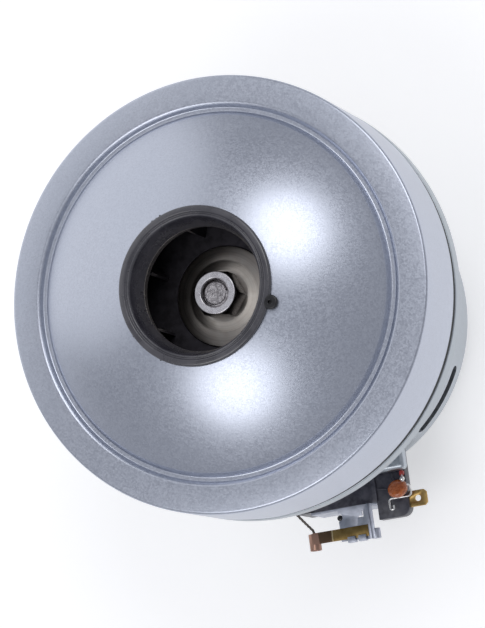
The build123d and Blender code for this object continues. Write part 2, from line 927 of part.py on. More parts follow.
def inlet_seal():
    neck = eye_hole_radius - seal_neck_gap
    under = neck + seal_under_lip
    skin = seat_gap
    low_inner = dome_level(neck) - cover_wall - seal_under_gap - seal_under_height
    crest = seal_top_level
    body = turned([
        (seal_throat_radius, seal_bottom_level),
        (seal_throat_radius + seal_under_height, seal_bottom_level),
        (neck - seal_neck_gap, low_inner - seal_under_height),
        (under, dome_level(under) - cover_wall - seal_under_gap - seal_under_height),
        (under, dome_level(under) - cover_wall - seal_under_gap),
        (neck, dome_level(neck) - cover_wall - seal_under_gap),
        (neck, dome_level(neck) + skin),
        (seal_radius, dome_level(seal_radius) + skin),
        (seal_radius, crest - seal_round),
        (seal_radius - seal_round, crest),
        (seal_crest_radius, crest),
        (seal_throat_radius, seal_bottom_level + seal_depth / 2),
    ])
    x, y = polar(seal_radius + seal_ear_offset, seal_ear_angle)
    ear_low = dome_level(seal_radius - seal_round) + skin
    ear_high = min(ear_low + seal_ear_height, crest)
    ear = Pos(x, y, 0) * disc(seal_ear_radius, ear_low, ear_high)
    ear -= disc(seal_radius - seal_round, ear_low - overrun, ear_high + overrun)
    body += ear
    return body - Pos(x, y, 0) * disc(seal_ear_hole, (ear_low + ear_high) / 2, ear_high + overrun)


def cover_gasket():
    inner = cover_radius - cover_wall - bracket_spigot_gap + seat_gap
    outer = cover_radius - gasket_recess
    middle = (plate_level + gasket_top) / 2
    slant = gasket_top - middle
    return turned([
        (inner, plate_level),
        (outer - slant, plate_level),
        (outer, middle),
        (outer - slant, gasket_top),
        (inner, gasket_top),
    ])


keep("fan_cover", fan_cover())
keep("inlet_seal", inlet_seal())
keep("cover_gasket", cover_gasket())


# Impeller

def shroud_points():
    """The outer skin of the front disc, from its edge to the collar of its eye."""
    return [
        (fan_radius, shroud_edge_level),
        (fan_mid_radius, shroud_edge_level + fan_mid_rise),
        (fan_eye_radius, shroud_eye_level - fan_eye_collar),
        (fan_eye_radius, shroud_eye_level),
    ]


def impeller_shroud():
    return sheet(shroud_points(), [fan_mid_bend, fan_eye_bend], fan_wall)


def blade_strip(inner, outer, sweep_angle, wall):
    """The plan of one curved blade, swept back from its inner to its outer end."""
    middle = (inner + outer) / 2
    start = polar(inner, 0)
    half_way = polar(middle, -sweep_angle * blade_lag_share / 2)
    end = polar(outer, -sweep_angle)
    return trace(ThreePointArc(start, half_way, end), wall)


def impeller_blades(shroud):
    foot = [(fan_eye_radius - fan_wall, fan_plate_top), (fan_radius, fan_plate_top)]
    under = turned(foot + shroud_points()[:-1])
    strip = blade_strip(blade_inner + fan_wall + 2 * seat_gap, blade_outer, blade_sweep, blade_wall)
    blade = extrude(Pos(0, 0, fan_plate_top) * strip, shroud_eye_level - fan_plate_top)
    blade = (blade & under) - shroud
    blade = max(blade.solids(), key=lambda solid: solid.volume)
    return around(blade, blade_count)


shroud = impeller_shroud()
keep("impeller_shroud", shroud)
keep("impeller_back_plate", ring(fan_radius, sleeve_bore, fan_plate_bottom, fan_plate_top))
keep("impeller_blades", impeller_blades(shroud))


# Diffuser

def diffuser():
    hub = back_washer_radius + diffuser_hub_gap
    outer = cover_radius - cover_wall - diffuser_outer_vane_gap
    vane_top = shroud_edge_level
    foot = plate_level + bracket_spigot_height + seat_gap
    body = ring(diffuser_plate_radius, hub, diffuser_bottom, diffuser_top)
    vane_outer = diffuser_plate_radius - diffuser_vane_wall
    strip = blade_strip(diffuser_vane_inner, vane_outer, -diffuser_vane_sweep, diffuser_vane_wall)
    vane = extrude(Pos(0, 0, plate_level) * strip, diffuser_bottom + diffuser_plate / 2 - plate_level)
    root = diffuser_outer_vane_inner
    outer_strip = blade_strip(root, outer, -diffuser_outer_vane_sweep, diffuser_vane_wall)
    outer_vane = extrude(Pos(0, 0, foot) * outer_strip, vane_top - foot)
    outer_vane -= disc(root, foot - overrun, vane_top + overrun)
    outer_vane &= disc(outer, foot - overrun, vane_top + overrun)
    for piece in (vane, outer_vane):
        for copy in around(piece, diffuser_vane_count):
            body += copy
    circle = diffuser_screw_circle
    boss = side_disc(circle, diffuser_boss_radius, plate_level, diffuser_bottom + diffuser_plate / 2)
    high = diffuser_top + overrun
    hole = side_disc(circle, diffuser_screw_radius + seat_gap, plate_level - overrun, high)
    seat_low = diffuser_top - diffuser_screw_head_height - seat_gap
    seat = side_disc(circle, diffuser_screw_head + seat_gap, seat_low, high)
    for copy in around(boss, diffuser_screw_count, diffuser_screw_start):
        body += copy
    for cutter in (hole, seat):
        for copy in around(cutter, diffuser_screw_count, diffuser_screw_start):
            body -= copy
    return body


def diffuser_screw():
    head_low = diffuser_top - diffuser_screw_head_height
    head = disc(diffuser_screw_head, head_low, diffuser_top)
    half = diffuser_screw_head * screw_slot_share / 2
    slot_low = diffuser_top - diffuser_screw_head_height * screw_slot_depth_share
    slot_ends = (-diffuser_screw_head, diffuser_screw_head)
    slot = block(slot_ends, (-half, half), (slot_low, diffuser_top + overrun))
    shank = disc(diffuser_screw_radius, flange_level - diffuser_screw_reach, head_low + seat_gap)
    return Pos(diffuser_screw_circle, 0, 0) * (head - slot + shank)


keep("diffuser", diffuser())
keep("diffuser_screws", around(diffuser_screw(), diffuser_screw_count, diffuser_screw_start))


# Brush gear, built on the -Y side and turned half round for the other

tab_middle = holder_face - tab_from_face
tab_high = holder_high - tab_depth
tab_inner_end = terminal_box_left + tab_inside


def carbon_brush():
    body = block(
        (-brush_width / 2, brush_width / 2),
        (brush_back, 0),
        (brush_centre - brush_height / 2, brush_centre + brush_height / 2),
    )
    return body - disc(-brush_tip, brush_centre - brush_height, brush_centre + brush_height)


def brush_tube():
    root = -(commutator_radius + tube_root_gap)
    outer = block(
        (-tube_half_width, tube_half_width),
        (tube_end, root),
        (brush_centre - tube_half_height, brush_centre + tube_half_height),
    )
    inner = block(
        (-tube_half_width + tube_wall, tube_half_width - tube_wall),
        (tube_end - overrun, root + overrun),
        (brush_centre - tube_half_height + tube_wall, brush_centre + tube_half_height - tube_wall),
    )
    return outer - inner


def brush_spring():
    """A coil spring in one unbroken wire between the brush and the steel bracket."""
    length = brush_spring_length - 2 * spring_end_gap - 2 * spring_wire
    coil = Helix(pitch=length / spring_turns, height=length, radius=spring_radius)
    count = spring_turns * spring_points_per_turn
    points = [coil @ (index / count) for index in range(count + 1)]
    gaps = [
        (points[index] - point).length - 2 * spring_wire
        for start, point in enumerate(points)
        for index in range(start + spring_points_per_turn // 2, count + 1)
    ]
    print(f"Brush spring, least gap to itself: {min(gaps):.2f} mm")
    profile = Plane(origin=coil @ 0, z_dir=coil % 0) * Circle(spring_wire)
    body = sweep(profile, path=coil)
    return Pos(0, brush_back - spring_end_gap - spring_wire, brush_centre) * (Rot(90, 0, 0) * body)


def brush_shunt():
    """The flexible lead inside the spring, from the brush to the steel bracket."""
    return rod(shunt_radius, (0, brush_back, brush_centre), (0, tube_end - seat_gap, brush_centre))


def brush_holder():
    half, right = holder_housing_half_width, holder_right
    body = block((-half, half), (holder_face, 0), (holder_low, holder_high))
    body += block((0, right), (holder_face, 0), (holder_plate_low, holder_high))
    ear_span = (-holder_ear_half_width, holder_ear_half_width)
    body += block(ear_span, (-can_radius - holder_ear_wall, 0), (holder_high - overrun, ear_high))
    box = block(
        (terminal_box_left, right),
        (terminal_box_face, holder_face + overrun),
        (holder_plate_low, holder_high),
    )
    corners = [
        edge for edge in box.edges().filter_by(Axis.Z)
        if edge.center().Y < holder_face and edge.center().X > terminal_box_left
    ]
    body += fillet(corners, terminal_box_round)
    body += block(
        (holder_ridge_left, holder_ridge_left + holder_ridge_width),
        (holder_face, -can_radius - can_seat_reach - seat_gap),
        (holder_high - overrun, holder_high + holder_ridge_height),
    )
    body -= disc(can_radius + seat_gap, holder_low - overrun, ear_high + overrun)
    body -= can_seat(-seat_gap)
    body += block(
        (-neck_half_width, neck_half_width),
        (-can_radius - overrun, -can_inner + holder_neck_depth - holder_window_gap),
        (brush_centre - neck_half_height, brush_centre + neck_half_height),
    )
    passage = tube_half_width + seat_gap
    rise = tube_half_height + seat_gap
    tube_room = (brush_centre - rise, brush_centre + rise)
    body -= block((-passage, passage), (holder_face - overrun, 0), tube_room)
    body -= block(
        (tab_inner_end - tab_slot_gap, right + overrun),
        (tab_middle - tab_width / 2 - tab_slot_gap, tab_middle + tab_width / 2 + tab_slot_gap),
        (tab_high - tab_wall - tab_slot_gap, tab_high + tab_slot_gap),
    )
    for x in (-holder_screw_offset, holder_screw_offset):
        outside = (x, -can_radius - holder_ear_wall - overrun, screw_level)
        body -= rod(holder_screw_radius + seat_gap, outside, (x, -can_inner, screw_level))
    return body


def holder_screw(x):
    """One screw through a holder's ear into the can."""
    seat = -can_radius - holder_ear_wall
    shank = rod(holder_screw_radius, (x, seat, screw_level), (x, -can_inner + overrun, screw_level))
    head = rod(holder_screw_head, (x, seat - holder_screw_head_height, screw_level), (x, seat, screw_level))
    half = holder_screw_head * screw_slot_share / 2
    face = seat - holder_screw_head_height
    slot = block(
        (x - holder_screw_head, x + holder_screw_head),
        (face - overrun, face + holder_screw_head_height * screw_slot_depth_share),
        (screw_level - half, screw_level + half),
    )
    return head - slot + shank


def terminal_tab():
    end = holder_right + tab_length
    y_span = (tab_middle - tab_width / 2, tab_middle + tab_width / 2)
    body = block((tab_inner_end, end), y_span, (tab_high - tab_wall, tab_high))
    corners = [edge for edge in body.edges().filter_by(Axis.Z) if edge.center().X > holder_right]
    body = chamfer(corners, tab_corner)
    hole = disc(tab_hole_radius, tab_high - tab_wall - overrun, tab_high + overrun)
    return body - Pos(end - tab_hole_from_end, tab_middle, 0) * hole


def brush_bracket():
    """The pressed steel clip that closes the brush tube and carries the contact strip."""
    root = holder_face - seat_gap
    end = holder_face - clip_reach
    low_edge = brush_centre - tube_half_height
    back = block((clip_left, terminal_box_left - slide_gap), (root - clip_wall, root), (clip_bottom, clip_top))
    back += block((clip_left, clip_right), (root - clip_wall, root), (low_edge, clip_top))
    face_end = holder_face - clip_face_reach
    face = block((clip_face_left, clip_right), (face_end, root), (clip_bottom, clip_top))
    post = block((clip_right - clip_post_width, clip_right), (end, root), (clip_bottom, clip_top))
    body = back + face + post
    rib_left = clip_right - clip_post_width / 2 - clip_rib_width / 2
    rib_high = clip_top + clip_rib_height
    body += block((rib_left, rib_left + clip_rib_width), (end, root), (clip_bottom, rib_high))
    through = (clip_bottom - overrun, clip_top + overrun)
    notch = disc(clip_notch_radius, *through)
    body -= Pos(clip_face_left, root - clip_notch_from_root, 0) * notch
    hook_top = root - clip_hook_from_root
    hook_foot = hook_top - clip_hook_height
    hook_right = clip_hook_left + clip_hook_width
    body -= block((clip_hook_left, hook_right), (hook_foot, hook_foot + clip_hook_line), through)
    body -= block((hook_right - clip_hook_line, hook_right), (hook_foot, hook_top), through)
    roll = bar_along_y(clip_foot_radius, end, end + clip_foot_length)
    roll -= bar_along_y(clip_foot_radius - clip_wall, end - overrun, end + clip_foot_length + overrun)
    body += Pos(clip_right, 0, clip_top - clip_foot_radius) * roll
    lip_high = clip_top + seat_gap + strip_wall + seat_gap + clip_wall
    outside = face_end - clip_wall
    for left in clip_tab_places:
        x_span = (left, left + clip_tab_width)
        body += block(x_span, (outside, face_end), (clip_bottom, lip_high))
        body += block(x_span, (outside, face_end + clip_tab_lip), (lip_high - clip_wall, lip_high))
    return body


def bar_along_y(radius, start, end):
    """A round bar that runs along Y."""
    return Pos(0, (start + end) / 2, 0) * (Rot(90, 0, 0) * Cylinder(radius, end - start))


def barrel_place():
    """The middle of the crimp barrel."""
    x = strip_left - barrel_radius
    y = holder_face - strip_from_root - strip_width / 2 - barrel_overhang
    return (x, y, clip_top + seat_gap + strip_wall - barrel_radius)


def contact_strip():
    """The brass strip on the bracket, its free end rolled into a crimp barrel."""
    low = clip_top + seat_gap
    top_edge = holder_face - strip_from_root
    right = clip_right - clip_post_width / 2 - clip_rib_width / 2 - strip_end_gap
    x, y, z = barrel_place()
    body = block((x, right), (top_edge - strip_width, top_edge), (low, low + strip_wall))
    start, end = y - barrel_length / 2, y + barrel_length / 2
    body += Pos(x, 0, z) * bar_along_y(barrel_radius, start, end)
    return body - Pos(x, 0, z) * bar_along_y(barrel_radius - barrel_wall, start - overrun, end + overrun)


def field_lead():
    """The twisted lead from the crimp barrel, through the can's wall, to the coil's rear end turn."""
    x, y, z = barrel_place()
    coil_radius = window_outer - coil_gap + seat_gap + lead_radius
    coil_y = -math.sqrt(coil_radius ** 2 - lead_hole_x ** 2)
    mouth = y + barrel_length / 2
    points = [
        (x, y, z),
        (x, mouth + lead_rise, z),
        (x + (lead_hole_x - x) * lead_way_share, mouth + lead_outside, lead_hole_level - lead_sag),
        (lead_hole_x, -can_radius - lead_outside, lead_hole_level),
        (lead_hole_x, coil_y, lead_hole_level),
    ]
    return wire(points, lead_bends, lead_radius)


def capacitor_place():
    return (capacitor_x, holder_face + capacitor_from_face, holder_high + capacitor_lift)


def capacitor():
    body = Cylinder(capacitor_radius, capacitor_thickness)
    body = fillet(body.edges().filter_by(GeomType.CIRCLE), capacitor_round)
    return Pos(*capacitor_place()) * (Rot(capacitor_lean, 0, 0) * body)


def live_lead():
    """The bare lead that wraps round the disc's edge and ends in a small curl on the terminal box."""
    x, y, z = capacitor_place()
    level = holder_high + capacitor_wire + seat_gap
    high_y, high = y + live_start_back, z - live_start_drop
    low_y = y - live_drop
    left, curl_y = x - live_reach, low_y - live_curl_length
    points = [
        (x + live_side, high_y, high),
        (x + live_out, high_y, high),
        (x + live_out, low_y, level),
        (left, low_y, level),
        (left, curl_y, level),
        (left + live_curl_width, curl_y, level),
        (left + live_curl_width, curl_y + live_curl_width, level),
    ]
    return wire(points, live_bends, capacitor_wire)


def earth_points():
    """The route of the earth lead, from the disc's upper side to the can's seat."""
    x, y, z = capacitor_place()
    seat = -can_radius - can_seat_reach - seat_gap
    return [
        (x + earth_side, y + capacitor_radius / 2, z),
        (x + earth_side, y + capacitor_radius + earth_rise, z),
        (x + earth_side, seat, z - earth_drop),
    ]


def earth_lead():
    return wire(earth_points(), [earth_bend], capacitor_wire)


def earth_sleeve():
    """The insulating sleeve on the last run of the earth lead."""
    bend, end = [Vector(*point) for point in earth_points()[1:]]
    run = end - bend
    start = bend + run * earth_sleeve_share
    stop = end - run * earth_sleeve_end_share
    outer = rod(earth_sleeve_radius, start, stop)
    return outer - rod(capacitor_wire + seat_gap, start - run, stop + run)


spring = brush_spring()
screws = []
leads = []
sleeves = []
for name, turn in (("a", 0), ("b", 180)):
    half_turn = Rot(0, 0, turn)
    disc_body = capacitor()
    keep(f"carbon_brush_{name}", half_turn * carbon_brush())
    keep(f"brush_tube_{name}", half_turn * brush_tube())
    keep(f"brush_spring_{name}", half_turn * spring)
    keep(f"brush_shunt_{name}", half_turn * brush_shunt())
    keep(f"brush_holder_{name}", half_turn * brush_holder())
    keep(f"terminal_tab_{name}", half_turn * terminal_tab())
    keep(f"brush_bracket_{name}", half_turn * brush_bracket())
    keep(f"contact_strip_{name}", half_turn * contact_strip())
    keep(f"capacitor_{name}", half_turn * disc_body)
    keep(f"capacitor_leads_{name}", [
        half_turn * (live_lead() - disc_body),
        half_turn * (earth_lead() - disc_body),
    ])
    screws += [half_turn * holder_screw(x) for x in (-holder_screw_offset, holder_screw_offset)]
    leads.append(half_turn * field_lead())
    sleeves.append(half_turn * earth_sleeve())
keep("holder_screws", screws)
keep("field_leads", leads)
keep("earth_sleeves", sleeves)
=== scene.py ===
import bpy
import bmesh
import math
from mathutils import Matrix, Vector


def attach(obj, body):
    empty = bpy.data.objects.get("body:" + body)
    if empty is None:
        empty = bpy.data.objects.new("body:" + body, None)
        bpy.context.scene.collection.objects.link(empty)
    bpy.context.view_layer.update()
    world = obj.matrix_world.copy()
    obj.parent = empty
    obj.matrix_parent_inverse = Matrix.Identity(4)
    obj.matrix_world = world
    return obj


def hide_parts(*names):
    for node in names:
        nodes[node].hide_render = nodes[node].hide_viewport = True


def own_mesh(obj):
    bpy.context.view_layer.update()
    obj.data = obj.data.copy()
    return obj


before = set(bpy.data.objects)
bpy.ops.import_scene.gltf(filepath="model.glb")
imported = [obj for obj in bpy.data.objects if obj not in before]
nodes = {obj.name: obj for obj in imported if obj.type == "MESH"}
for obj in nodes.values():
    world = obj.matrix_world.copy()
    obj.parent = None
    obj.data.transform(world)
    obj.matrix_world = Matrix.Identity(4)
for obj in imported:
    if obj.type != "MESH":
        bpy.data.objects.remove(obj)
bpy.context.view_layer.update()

mm = 0.001
print("frame loaded:", len(nodes), "nodes")

# Small helpers for meshes. Shapes are written in millimetres and stored in metres.

mergeDistance = {"piece": 1e-7, "copy": 2e-6}  # metres
copyAngles = {"flat": 1.0, "bevelled": 35}


def assign(item, **settings):
    for key, value in settings.items():
        setattr(item, key, value)
    return item


def linkObject(name, data):
    obj = bpy.data.objects.new(name, data)
    bpy.context.scene.collection.objects.link(obj)
    return obj


def smoothBy(mesh, angle):
    mesh.shade_smooth()
    mesh.set_sharp_from_angle(angle=math.radians(angle))


def makePiece(name, verts, faces, smooth=32):
    mesh = bpy.data.meshes.new(name)
    mesh.from_pydata([[c * mm for c in v] for v in verts], [], faces)
    tidyMesh(mesh)
    smoothBy(mesh, smooth)
    return linkObject(name, mesh)


def tidyMesh(mesh):
    bm = bmesh.new()
    bm.from_mesh(mesh)
    bmesh.ops.remove_doubles(bm, verts=bm.verts, dist=mergeDistance["piece"])
    bmesh.ops.dissolve_degenerate(bm, dist=mergeDistance["piece"], edges=bm.edges)
    bmesh.ops.delete(bm, geom=[edge for edge in bm.edges if not edge.link_faces], context="EDGES")
    bmesh.ops.recalc_face_normals(bm, faces=bm.faces)
    bm.to_mesh(mesh)
    bm.free()
    mesh.update()


def applied(obj):
    # the evaluated shape becomes the mesh, and the modifiers go
    graph = bpy.context.evaluated_depsgraph_get()
    mesh = bpy.data.meshes.new_from_object(obj.evaluated_get(graph))
    old = obj.data
    obj.modifiers.clear()
    if obj.type == "MESH":
        obj.data = mesh
        bpy.data.meshes.remove(old)
        return obj
    name = obj.name
    bpy.data.objects.remove(obj)
    return linkObject(name, mesh)


def polar(radius, angle, level=0.0):
    a = math.radians(angle)
    return Vector((radius * math.cos(a), radius * math.sin(a), level))


def turnedBy(degrees, axis="Z"):
    return Matrix.Rotation(math.radians(degrees), 4, axis)


def shiftedBy(x, y, z):
    return Matrix.Translation(Vector((x, y, z)) * mm)


def sizedTo(x, y, z):
    return Matrix.Diagonal((x * mm, y * mm, z * mm, 1))


def roundedOutline(corners, closed=True, stepAngle=9.0, chord=1.6):
    # corners are (across, up, bend); the bend is the radius of that corner
    out = []
    last = len(corners) - 1
    for i, (x, y, bend) in enumerate(corners):
        here = Vector((x, y))
        if bend <= 0 or (not closed and i in (0, last)):
            out.append((x, y))
            continue
        u = (Vector(corners[i - 1][:2]) - here).normalized()
        v = (Vector(corners[(i + 1) % len(corners)][:2]) - here).normalized()
        half = u.angle(v) / 2
        centre = here + (u + v).normalized() * bend / math.sin(half)
        start = here + u * bend / math.tan(half) - centre
        end = here + v * bend / math.tan(half) - centre
        sweep = math.atan2(start.x * end.y - start.y * end.x, start.dot(end))
        count = max(2, math.ceil(abs(sweep) / math.radians(stepAngle)), math.ceil(abs(sweep) * bend / chord))
        a0 = math.atan2(start.y, start.x)
        for k in range(count + 1):
            a = a0 + sweep * k / count
            out.append((centre.x + bend * math.cos(a), centre.y + bend * math.sin(a)))
    return out


def offsetLine(points, wall):
    # an open line moved to its left
    moved = []
    for i, p in enumerate(points):
        a = Vector(points[max(i - 1, 0)])
        b = Vector(points[min(i + 1, len(points) - 1)])
        run = (b - a).normalized()
        before = (Vector(p) - a).normalized() if i else run
        after = (b - Vector(p)).normalized() if i < len(points) - 1 else run
        stretch = 1 / max(0.5, math.cos(before.angle(after, 0.0) / 2))
        moved.append((p[0] - run.y * wall * stretch, p[1] + run.x * wall * stretch))
    return moved


def lathe(name, outline, segments=160, smooth=32):
    # a closed outline of (radius, level) spun about the shaft
    verts, faces = [], []
    n = len(outline)
    for s in range(segments):
        a = 2 * math.pi * s / segments
        verts += [(r * math.cos(a), r * math.sin(a), z) for r, z in outline]
    for s in range(segments):
        t = (s + 1) % segments
        for i in range(n):
            j = (i + 1) % n
            faces.append((s * n + i, t * n + i, t * n + j, s * n + j))
    return makePiece(name, verts, faces, smooth)


def sheetLathe(name, corners, wall, segments=192, smooth=32):
    outer = roundedOutline(corners, closed=False)
    return lathe(name, outer + offsetLine(outer, wall)[::-1], segments, smooth)


def tube(points, radius, sides=12, closed=False):
    # a round bar along points, its frame carried along so that it never twists
    path = [Vector(p) for p in points]
    count = len(path)
    tangents = []
    for i in range(count):
        a = path[i - 1] if (i or closed) else path[0]
        b = path[(i + 1) % count] if (i < count - 1 or closed) else path[-1]
        tangents.append((b - a).normalized())
    side = tangents[0].orthogonal().normalized()
    verts, faces = [], []
    for i, p in enumerate(path):
        side = (side - tangents[i] * side.dot(tangents[i])).normalized()
        up = tangents[i].cross(side)
        r = radius[i] if isinstance(radius, (list, tuple)) else radius
        for k in range(sides):
            a = 2 * math.pi * k / sides
            verts.append(p + (side * math.cos(a) + up * math.sin(a)) * r)
    for i in range(count if closed else count - 1):
        j = (i + 1) % count
        for k in range(sides):
            m = (k + 1) % sides
            faces.append((i * sides + k, i * sides + m, j * sides + m, j * sides + k))
    if not closed:
        faces.append(tuple(range(sides))[::-1])
        faces.append(tuple((count - 1) * sides + k for k in range(sides)))
    return verts, faces


def joinShapes(shapes):
    verts, faces = [], []
    for v, f in shapes:
        base = len(verts)
        verts += list(v)
        faces += [tuple(i + base for i in face) for face in f]
    return verts, faces


def moved(shape, matrix):
    return [matrix @ Vector(v) for v in shape[0]], shape[1]


def smoothPath(corners, bends, step=12.0):
    # straight runs joined by arcs, in space
    pts = [Vector(c) for c in corners]
    out = [pts[0]]
    for i in range(1, len(pts) - 1):
        here = pts[i]
        u = (pts[i - 1] - here).normalized()
        v = (pts[i + 1] - here).normalized()
        half = u.angle(v) / 2
        bend = bends[i - 1]
        centre = here + (u + v).normalized() * bend / math.sin(half)
        a = here + u * bend / math.tan(half) - centre
        b = here + v * bend / math.tan(half) - centre
        sweep = a.angle(b)
        count = max(3, math.ceil(sweep / math.radians(step)))
        for k in range(count + 1):
            t = k / count
            arc = (a * math.sin((1 - t) * sweep) + b * math.sin(t * sweep)) / math.sin(sweep)
            out.append(centre + arc)
    out.append(pts[-1])
    return out


def softenEdges(obj, width, angle):
    assign(obj.modifiers.new("softEdges", "BEVEL"), width=width * mm, segments=2, limit_method="ANGLE",
           angle_limit=math.radians(angle))


def dressCopy(node, name, bevel=0.0, smooth=32):
    # a merged copy of a CAD node's own mesh, with its edges softened
    mesh = nodes[node].data.copy()
    mesh.name = name
    mesh.materials.clear()
    bm = bmesh.new()
    bm.from_mesh(mesh)
    bmesh.ops.remove_doubles(bm, verts=bm.verts, dist=mergeDistance["copy"])
    if bevel:
        flat = math.radians(copyAngles["flat"])
        bmesh.ops.dissolve_limit(bm, angle_limit=flat, verts=bm.verts, edges=bm.edges)
    bm.to_mesh(mesh)
    bm.free()
    obj = linkObject(name, mesh)
    if bevel:
        softenEdges(obj, bevel, copyAngles["bevelled"])
        applied(obj)
    smoothBy(obj.data, smooth)
    return obj


def boxCutter(places):
    # one box for each matrix, all in one object
    bm = bmesh.new()
    for matrix in places:
        bmesh.ops.create_cube(bm, size=1.0, matrix=matrix)
    mesh = bpy.data.meshes.new("cutter")
    bm.to_mesh(mesh)
    bm.free()
    return linkObject("cutter", mesh)


def cutBy(obj, cutter, crossing=False):
    assign(obj.modifiers.new("cut", "BOOLEAN"), operation="DIFFERENCE", solver="EXACT", use_self=crossing,
           object=cutter)


def halfTurned(obj, name):
    # the same piece on the other side of the shaft
    mesh = obj.data.copy()
    mesh.name = name
    mesh.transform(turnedBy(180))
    return linkObject(name, mesh)


def settle(obj, look, slotName, *replaced, body="motor_body"):
    obj.data.materials.clear()
    obj.data.materials.append(finish[look])
    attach(obj, body)
    if replaced:
        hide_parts(*replaced)


# Shader groups. Each is built once and placed in a material with its own values.

def addNode(tree, kind, values=None, **settings):
    item = assign(tree.nodes.new(kind), **settings)
    for key, value in (values or {}).items():
        if isinstance(value, bpy.types.NodeSocket):
            tree.links.new(value, item.inputs[key])
        else:
            item.inputs[key].default_value = value
    return item.outputs


def calc(tree, operation, a, b=0.0, c=0.0):
    return addNode(tree, "ShaderNodeMath", {0: a, 1: b, 2: c}, operation=operation)[0]


def times(tree, a, b):
    return calc(tree, "MULTIPLY", a, b)


def spread(tree, value, low, high, toLow=0.0, toHigh=1.0):
    values = {0: value, 1: low, 2: high, 3: toLow, 4: toHigh}
    return addNode(tree, "ShaderNodeMapRange", values)[0]


def scaled(tree, vector, amount):
    return addNode(tree, "ShaderNodeVectorMath", {0: vector, 3: amount}, operation="SCALE")[0]


def blendColour(tree, amount, a, b):
    values = {0: amount}
    for key, colour in ((6, a), (7, b)):
        values[key] = colour if isinstance(colour, bpy.types.NodeSocket) else (*colour, 1.0)
    return addNode(tree, "ShaderNodeMix", values, data_type="RGBA")[2]


def tinted(tree, base, mask, amount, colour):
    return blendColour(tree, times(tree, mask, amount), base, colour)


def newGroup(name, inputs, outputs):
    tree = bpy.data.node_groups.new(name, "ShaderNodeTree")
    for key, value in inputs.items():
        socket = tree.interface.new_socket(name=key, in_out="INPUT", socket_type="NodeSocketFloat")
        socket.default_value = value
    for key in outputs:
        tree.interface.new_socket(name=key, in_out="OUTPUT", socket_type="NodeSocketFloat")
    return tree, addNode(tree, "NodeGroupInput")


def closeGroup(tree, **results):
    last = tree.nodes.new("NodeGroupOutput").inputs
    for key, value in results.items():
        tree.links.new(value, last[key])
    return tree


def objectAxes(tree):
    # the object's own coordinates, one number for each axis
    point = addNode(tree, "ShaderNodeTexCoord")["Object"]
    return addNode(tree, "ShaderNodeSeparateXYZ", {0: point})


def objectPoint(tree, size):
    # the object's own coordinates, counted in a size given in millimetres
    point = addNode(tree, "ShaderNodeTexCoord")["Object"]
    return scaled(tree, point, calc(tree, "DIVIDE", 1 / mm, size))


def noise(tree, vector, detail=2.0, scale=1.0):
    values = {"Vector": vector, "Scale": scale, "Detail": detail}
    return addNode(tree, "ShaderNodeTexNoise", values)[0]


def buildSpangle():
    sizes = {"Crystal": 1.1, "Speck": 0.35, "Cloud": 22.0}
    tree, given = newGroup("zincSpangle", sizes, ["Tone", "Specks", "Cloud", "Height"])
    cells = {"Vector": objectPoint(tree, given["Crystal"]), "Scale": 1.0, "Randomness": 1.0}
    crystal = addNode(tree, "ShaderNodeTexVoronoi", cells)["Color"]
    tint = addNode(tree, "ShaderNodeSeparateColor", {0: crystal})[0]
    fine = noise(tree, objectPoint(tree, given["Crystal"]), 3.0, 1.7)
    tone = calc(tree, "ADD", times(tree, tint, 0.55), times(tree, fine, 0.45))
    speck = noise(tree, objectPoint(tree, given["Speck"]))
    cloud = noise(tree, objectPoint(tree, given["Cloud"]), 3.0)
    return closeGroup(tree, Tone=tone, Specks=spread(tree, speck, 0.62, 0.74),
                      Cloud=spread(tree, cloud, 0.3, 0.7),
                      Height=calc(tree, "ADD", tone, times(tree, speck, 0.6)))


def buildTurned():
    # fine rings left by turning or spinning, centred on the shaft
    tree, given = newGroup("turnedRings", {"Pitch": 0.25, "Wobble": 0.4}, ["Tone", "Height"])
    part = objectAxes(tree)
    squares = [calc(tree, "POWER", part[axis], 2.0) for axis in (0, 1)]
    across = calc(tree, "SQRT", calc(tree, "ADD", *squares))
    step = calc(tree, "DIVIDE", 1 / mm, given["Pitch"])
    ringPoint = {0: times(tree, across, step), 1: times(tree, part[2], step)}
    ring = noise(tree, addNode(tree, "ShaderNodeCombineXYZ", ringPoint)[0], scale=0.5)
    patch = noise(tree, objectPoint(tree, 4.0))
    wobble = times(tree, calc(tree, "SUBTRACT", patch, 0.5), given["Wobble"])
    return closeGroup(tree, Tone=calc(tree, "ADD", ring, wobble), Height=ring)


def buildWear():
    tree, given = newGroup("edgeWear", {"Low": 0.505, "High": 0.56, "Patch": 2.5}, ["Mask"])
    edge = addNode(tree, "ShaderNodeNewGeometry")["Pointiness"]
    patch = noise(tree, objectPoint(tree, given["Patch"]), 3.0)
    worn = spread(tree, edge, given["Low"], given["High"])
    return closeGroup(tree, Mask=times(tree, worn, spread(tree, patch, 0.35, 0.6)))


def buildMottle():
    tree, given = newGroup("mottle", {"Patch": 3.0, "Grain": 0.2}, ["Tone", "Grain", "Height"])
    patch = noise(tree, objectPoint(tree, given["Patch"]), 4.0)
    grain = noise(tree, objectPoint(tree, given["Grain"]))
    return closeGroup(tree, Tone=spread(tree, patch, 0.3, 0.7), Grain=spread(tree, grain, 0.3, 0.7),
                      Height=calc(tree, "ADD", times(tree, patch, 0.5), grain))


def buildStack():
    # the edges of stacked sheets, one above another along the shaft
    tree, given = newGroup("sheetStack", {"Pitch": 0.5}, ["Tone", "Height"])
    level = times(tree, objectAxes(tree)[2], calc(tree, "DIVIDE", 1 / mm, given["Pitch"]))
    saw = calc(tree, "ABSOLUTE", calc(tree, "SUBTRACT", calc(tree, "FRACT", level), 0.5))
    sheet = {"W": calc(tree, "FLOOR", level)}
    layer = addNode(tree, "ShaderNodeTexWhiteNoise", sheet, noise_dimensions="1D")[0]
    return closeGroup(tree, Tone=layer, Height=spread(tree, saw, 0.3, 0.5, 1.0, 0.0))


